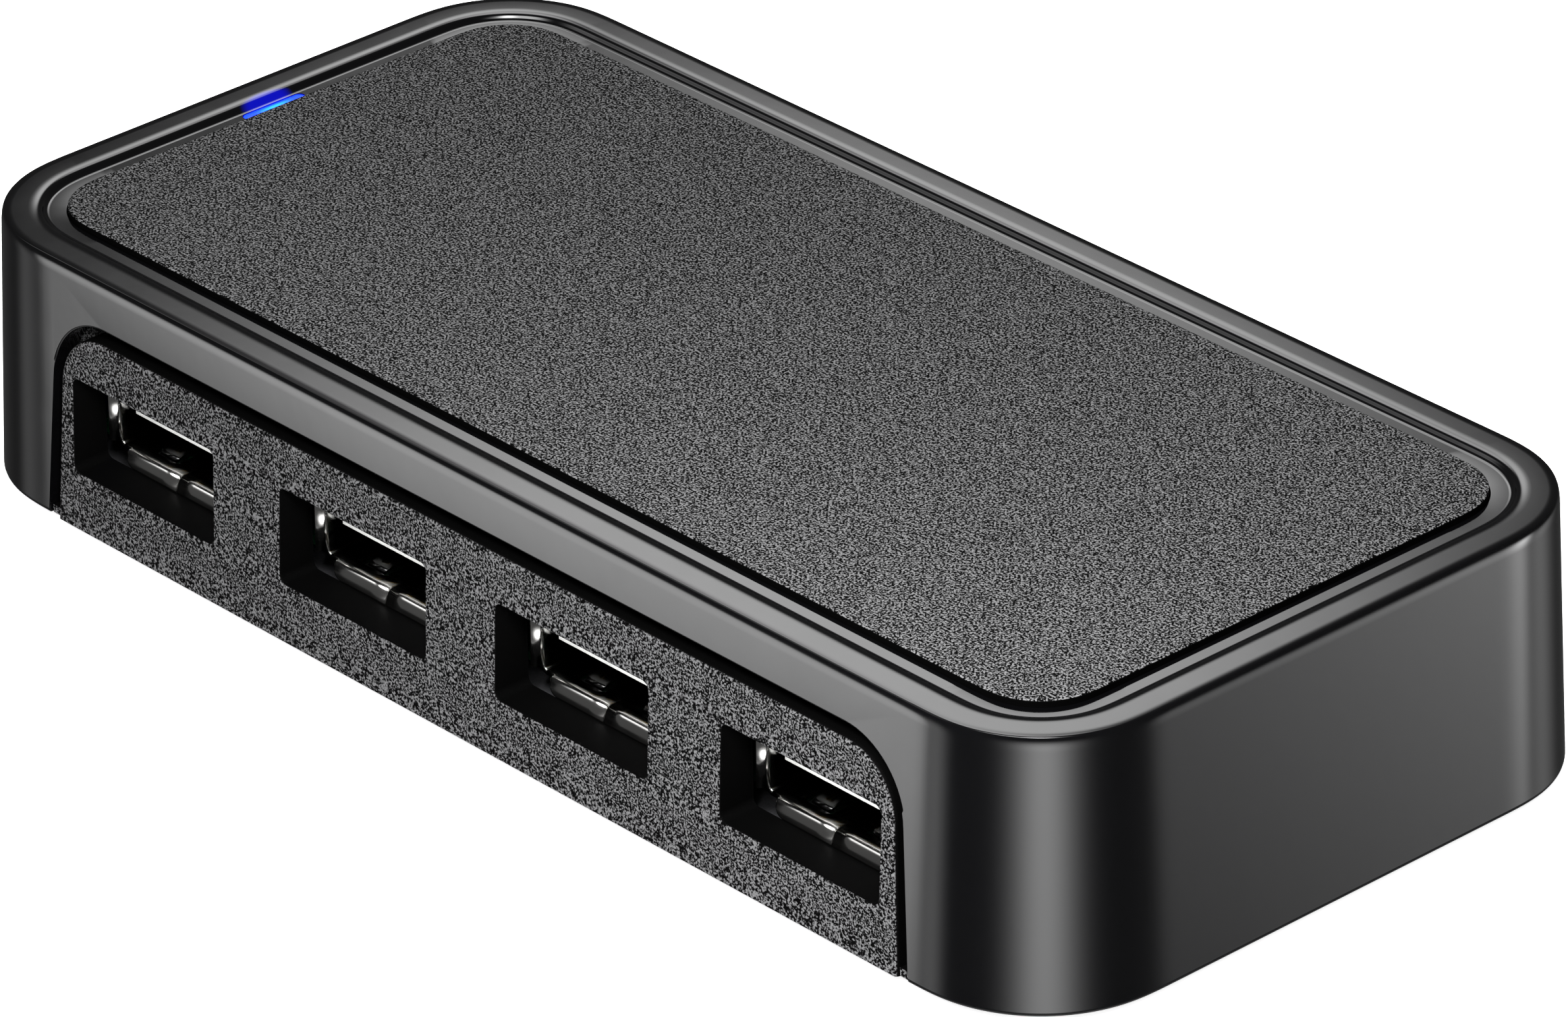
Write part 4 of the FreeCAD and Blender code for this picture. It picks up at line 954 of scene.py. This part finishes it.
def make_lips(bm, path, base, front_row):
    """The flared lips that grow from the tube's front row."""
    across, front, level = base
    names = [lip_at(x, z) for x, z, _ in path]
    for name in ("bottom_left", "bottom_right", "top", "left", "right"):
        members = [k for k in range(len(path)) if names[k] == name]
        at_side = name in ("left", "right")
        last = [front_row[k] for k in members]
        for step in range(1, LIP_STEPS + 1):
            row = []
            for x, z, (nx, nz) in (path[k] for k in members):
                part = step / LIP_STEPS * (1.0 if at_side else lip_reach(x))
                ahead, aside = lip_point(SIDE_SPREAD if at_side else LIP_SPREAD, part)
                row.append(bm.verts.new((
                    across + x + nx * aside, front + LIP_DEPTH - ahead, level + z + nz * aside,
                )))
            bridge(bm, [last, row], closed=False)
            last = row


def make_tabs(bm, base):
    """The pointed tabs that hold the receptacle in the board."""
    across, front, level = base
    start, end, drop = TAB_START, TAB_END, TAB_DROP
    narrow, point = TAB_TAPER
    outline = [
        (start, TAB_ROOT), (start, -drop + point), (start + narrow, -drop),
        (end - narrow, -drop), (end, -drop + point), (end, TAB_ROOT),
    ]
    for side in (-1, 1):
        x = across + MOUTH_WIDTH / 2 * side
        bm.faces.new([bm.verts.new((x, front + y, level + z)) for y, z in outline])


def make_receptacle(port, steel):
    """Stamped shell: tube with a seam, spring fingers between slits, flared lips and board tabs."""
    node = f"usb_a_shell_{port}"
    low, high = corners_of(node)
    base = ((low.x + high.x) / 2, low.y, high.z - SHEET - LIP_SPREAD - MOUTH_HEIGHT)
    path = mouth_path()
    bm = bmesh.new()
    front_row = make_tube(bm, path, base)
    make_lips(bm, path, base, front_row)
    make_tabs(bm, base)
    piece = new_piece(f"socket_shell_{port}", bm, steel, "socket_steel", node, sharp=40.0)
    plate = piece.modifiers.new("sheet", "SOLIDIFY")
    plate.thickness = SHEET * MM
    plate.offset = 1.0
    plate.use_even_offset = True
    piece.modifiers.move(1, 0)
    return piece


# ---------------------------------------------------------------- the whole hub


def assign(material, *nodes):
    """Gives carried-over CAD nodes a material."""
    for node in nodes:
        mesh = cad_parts[node].data
        mesh.materials.clear()
        mesh.materials.append(material)


def finish_nodes(panel):
    """Gives every carried-over CAD node its own material."""
    pale = tongue_plastic("socket_plastic", corners_of("usb_a_shell_1")[0].y)
    rear = matte_plastic("dark_socket_plastic", (0.012, 0.012, 0.012), 0.4, 4.0, 0.005)
    gilt = metal("gilt_contact", (0.83, 0.58, 0.22), 0.25, (1.0, 0.1, 1.0))
    can = metal("plated_can", (0.68, 0.68, 0.66), 0.28)
    assign(panel, "front_panel")
    assign(matte_plastic("adhesive", (0.04, 0.04, 0.045), 0.7), "inlay_adhesive")
    assign(matte_plastic("base_plastic", (0.014, 0.014, 0.015), 0.42, 3.5, 0.03), "bottom_cover")
    assign(board_laminate("board_laminate"), "circuit_board")
    assign(metal("board_screw_steel", (0.6, 0.6, 0.58), 0.3), "board_screws")
    assign(matte_plastic("chip_plastic", (0.02, 0.02, 0.022), 0.45), "hub_controller")
    assign(metal("capacitor_can", (0.55, 0.56, 0.6), 0.3, (1.0, 1.0, 0.2)), "port_capacitors")
    assign(matte_plastic("fuse_body", (0.02, 0.06, 0.03), 0.4), "port_fuses")
    assign(matte_plastic("chip_ceramic", (0.35, 0.27, 0.18), 0.4), "bypass_components")
    assign(matte_plastic("light_source", (0.75, 0.72, 0.6), 0.35), "led_chip")
    assign(can, "crystal", "dc_jack_pin", "dc_jack_spring")
    assign(rear, "mini_b_insulator", "dc_jack_body")
    assign(gilt, "mini_b_contacts")
    assign(metal("inlet_steel", (0.7, 0.69, 0.67), 0.2, (1.0, 0.12, 1.0), 0.0004), "mini_b_shell")
    for port in PORTS:
        assign(pale, f"usb_a_insulator_{port}")
        assign(gilt, f"usb_a_contacts_{port}")


def make_hub():
    """Every finer piece and every material of the hub."""
    lens_low, lens_high = corners_of("light_pipe")
    lens_middle = (lens_low + lens_high) / 2
    gloss = gloss_plastic("gloss_case", (0.0006, 0.0006, 0.0007), 0.06, lens_middle)
    black = (0.0005, 0.0005, 0.0005)
    etched = grained_plastic("textured_plastic", "Z", 1.0, black, (0.078, 0.078, 0.079), 0.2)
    panel = grained_plastic("panel_plastic", "Y", -1.0, black, (0.052, 0.052, 0.053), 0.6)
    steel = socket_metal("socket_steel", corners_of("usb_a_shell_1")[0].y)
    make_case(gloss)
    make_insert(etched)
    make_lens(glowing_lens("light_lens", lens_middle, (lens_high.y - lens_low.y) / 2))
    make_feet(matte_plastic("foot_rubber", (0.03, 0.03, 0.031), 0.75, 2.5, 0.02))
    make_case_screws(metal("screw_steel", (0.62, 0.62, 0.6), 0.3))
    for port in PORTS:
        make_receptacle(port, steel)
    finish_nodes(panel)


make_camera()
make_studio()
make_hub()
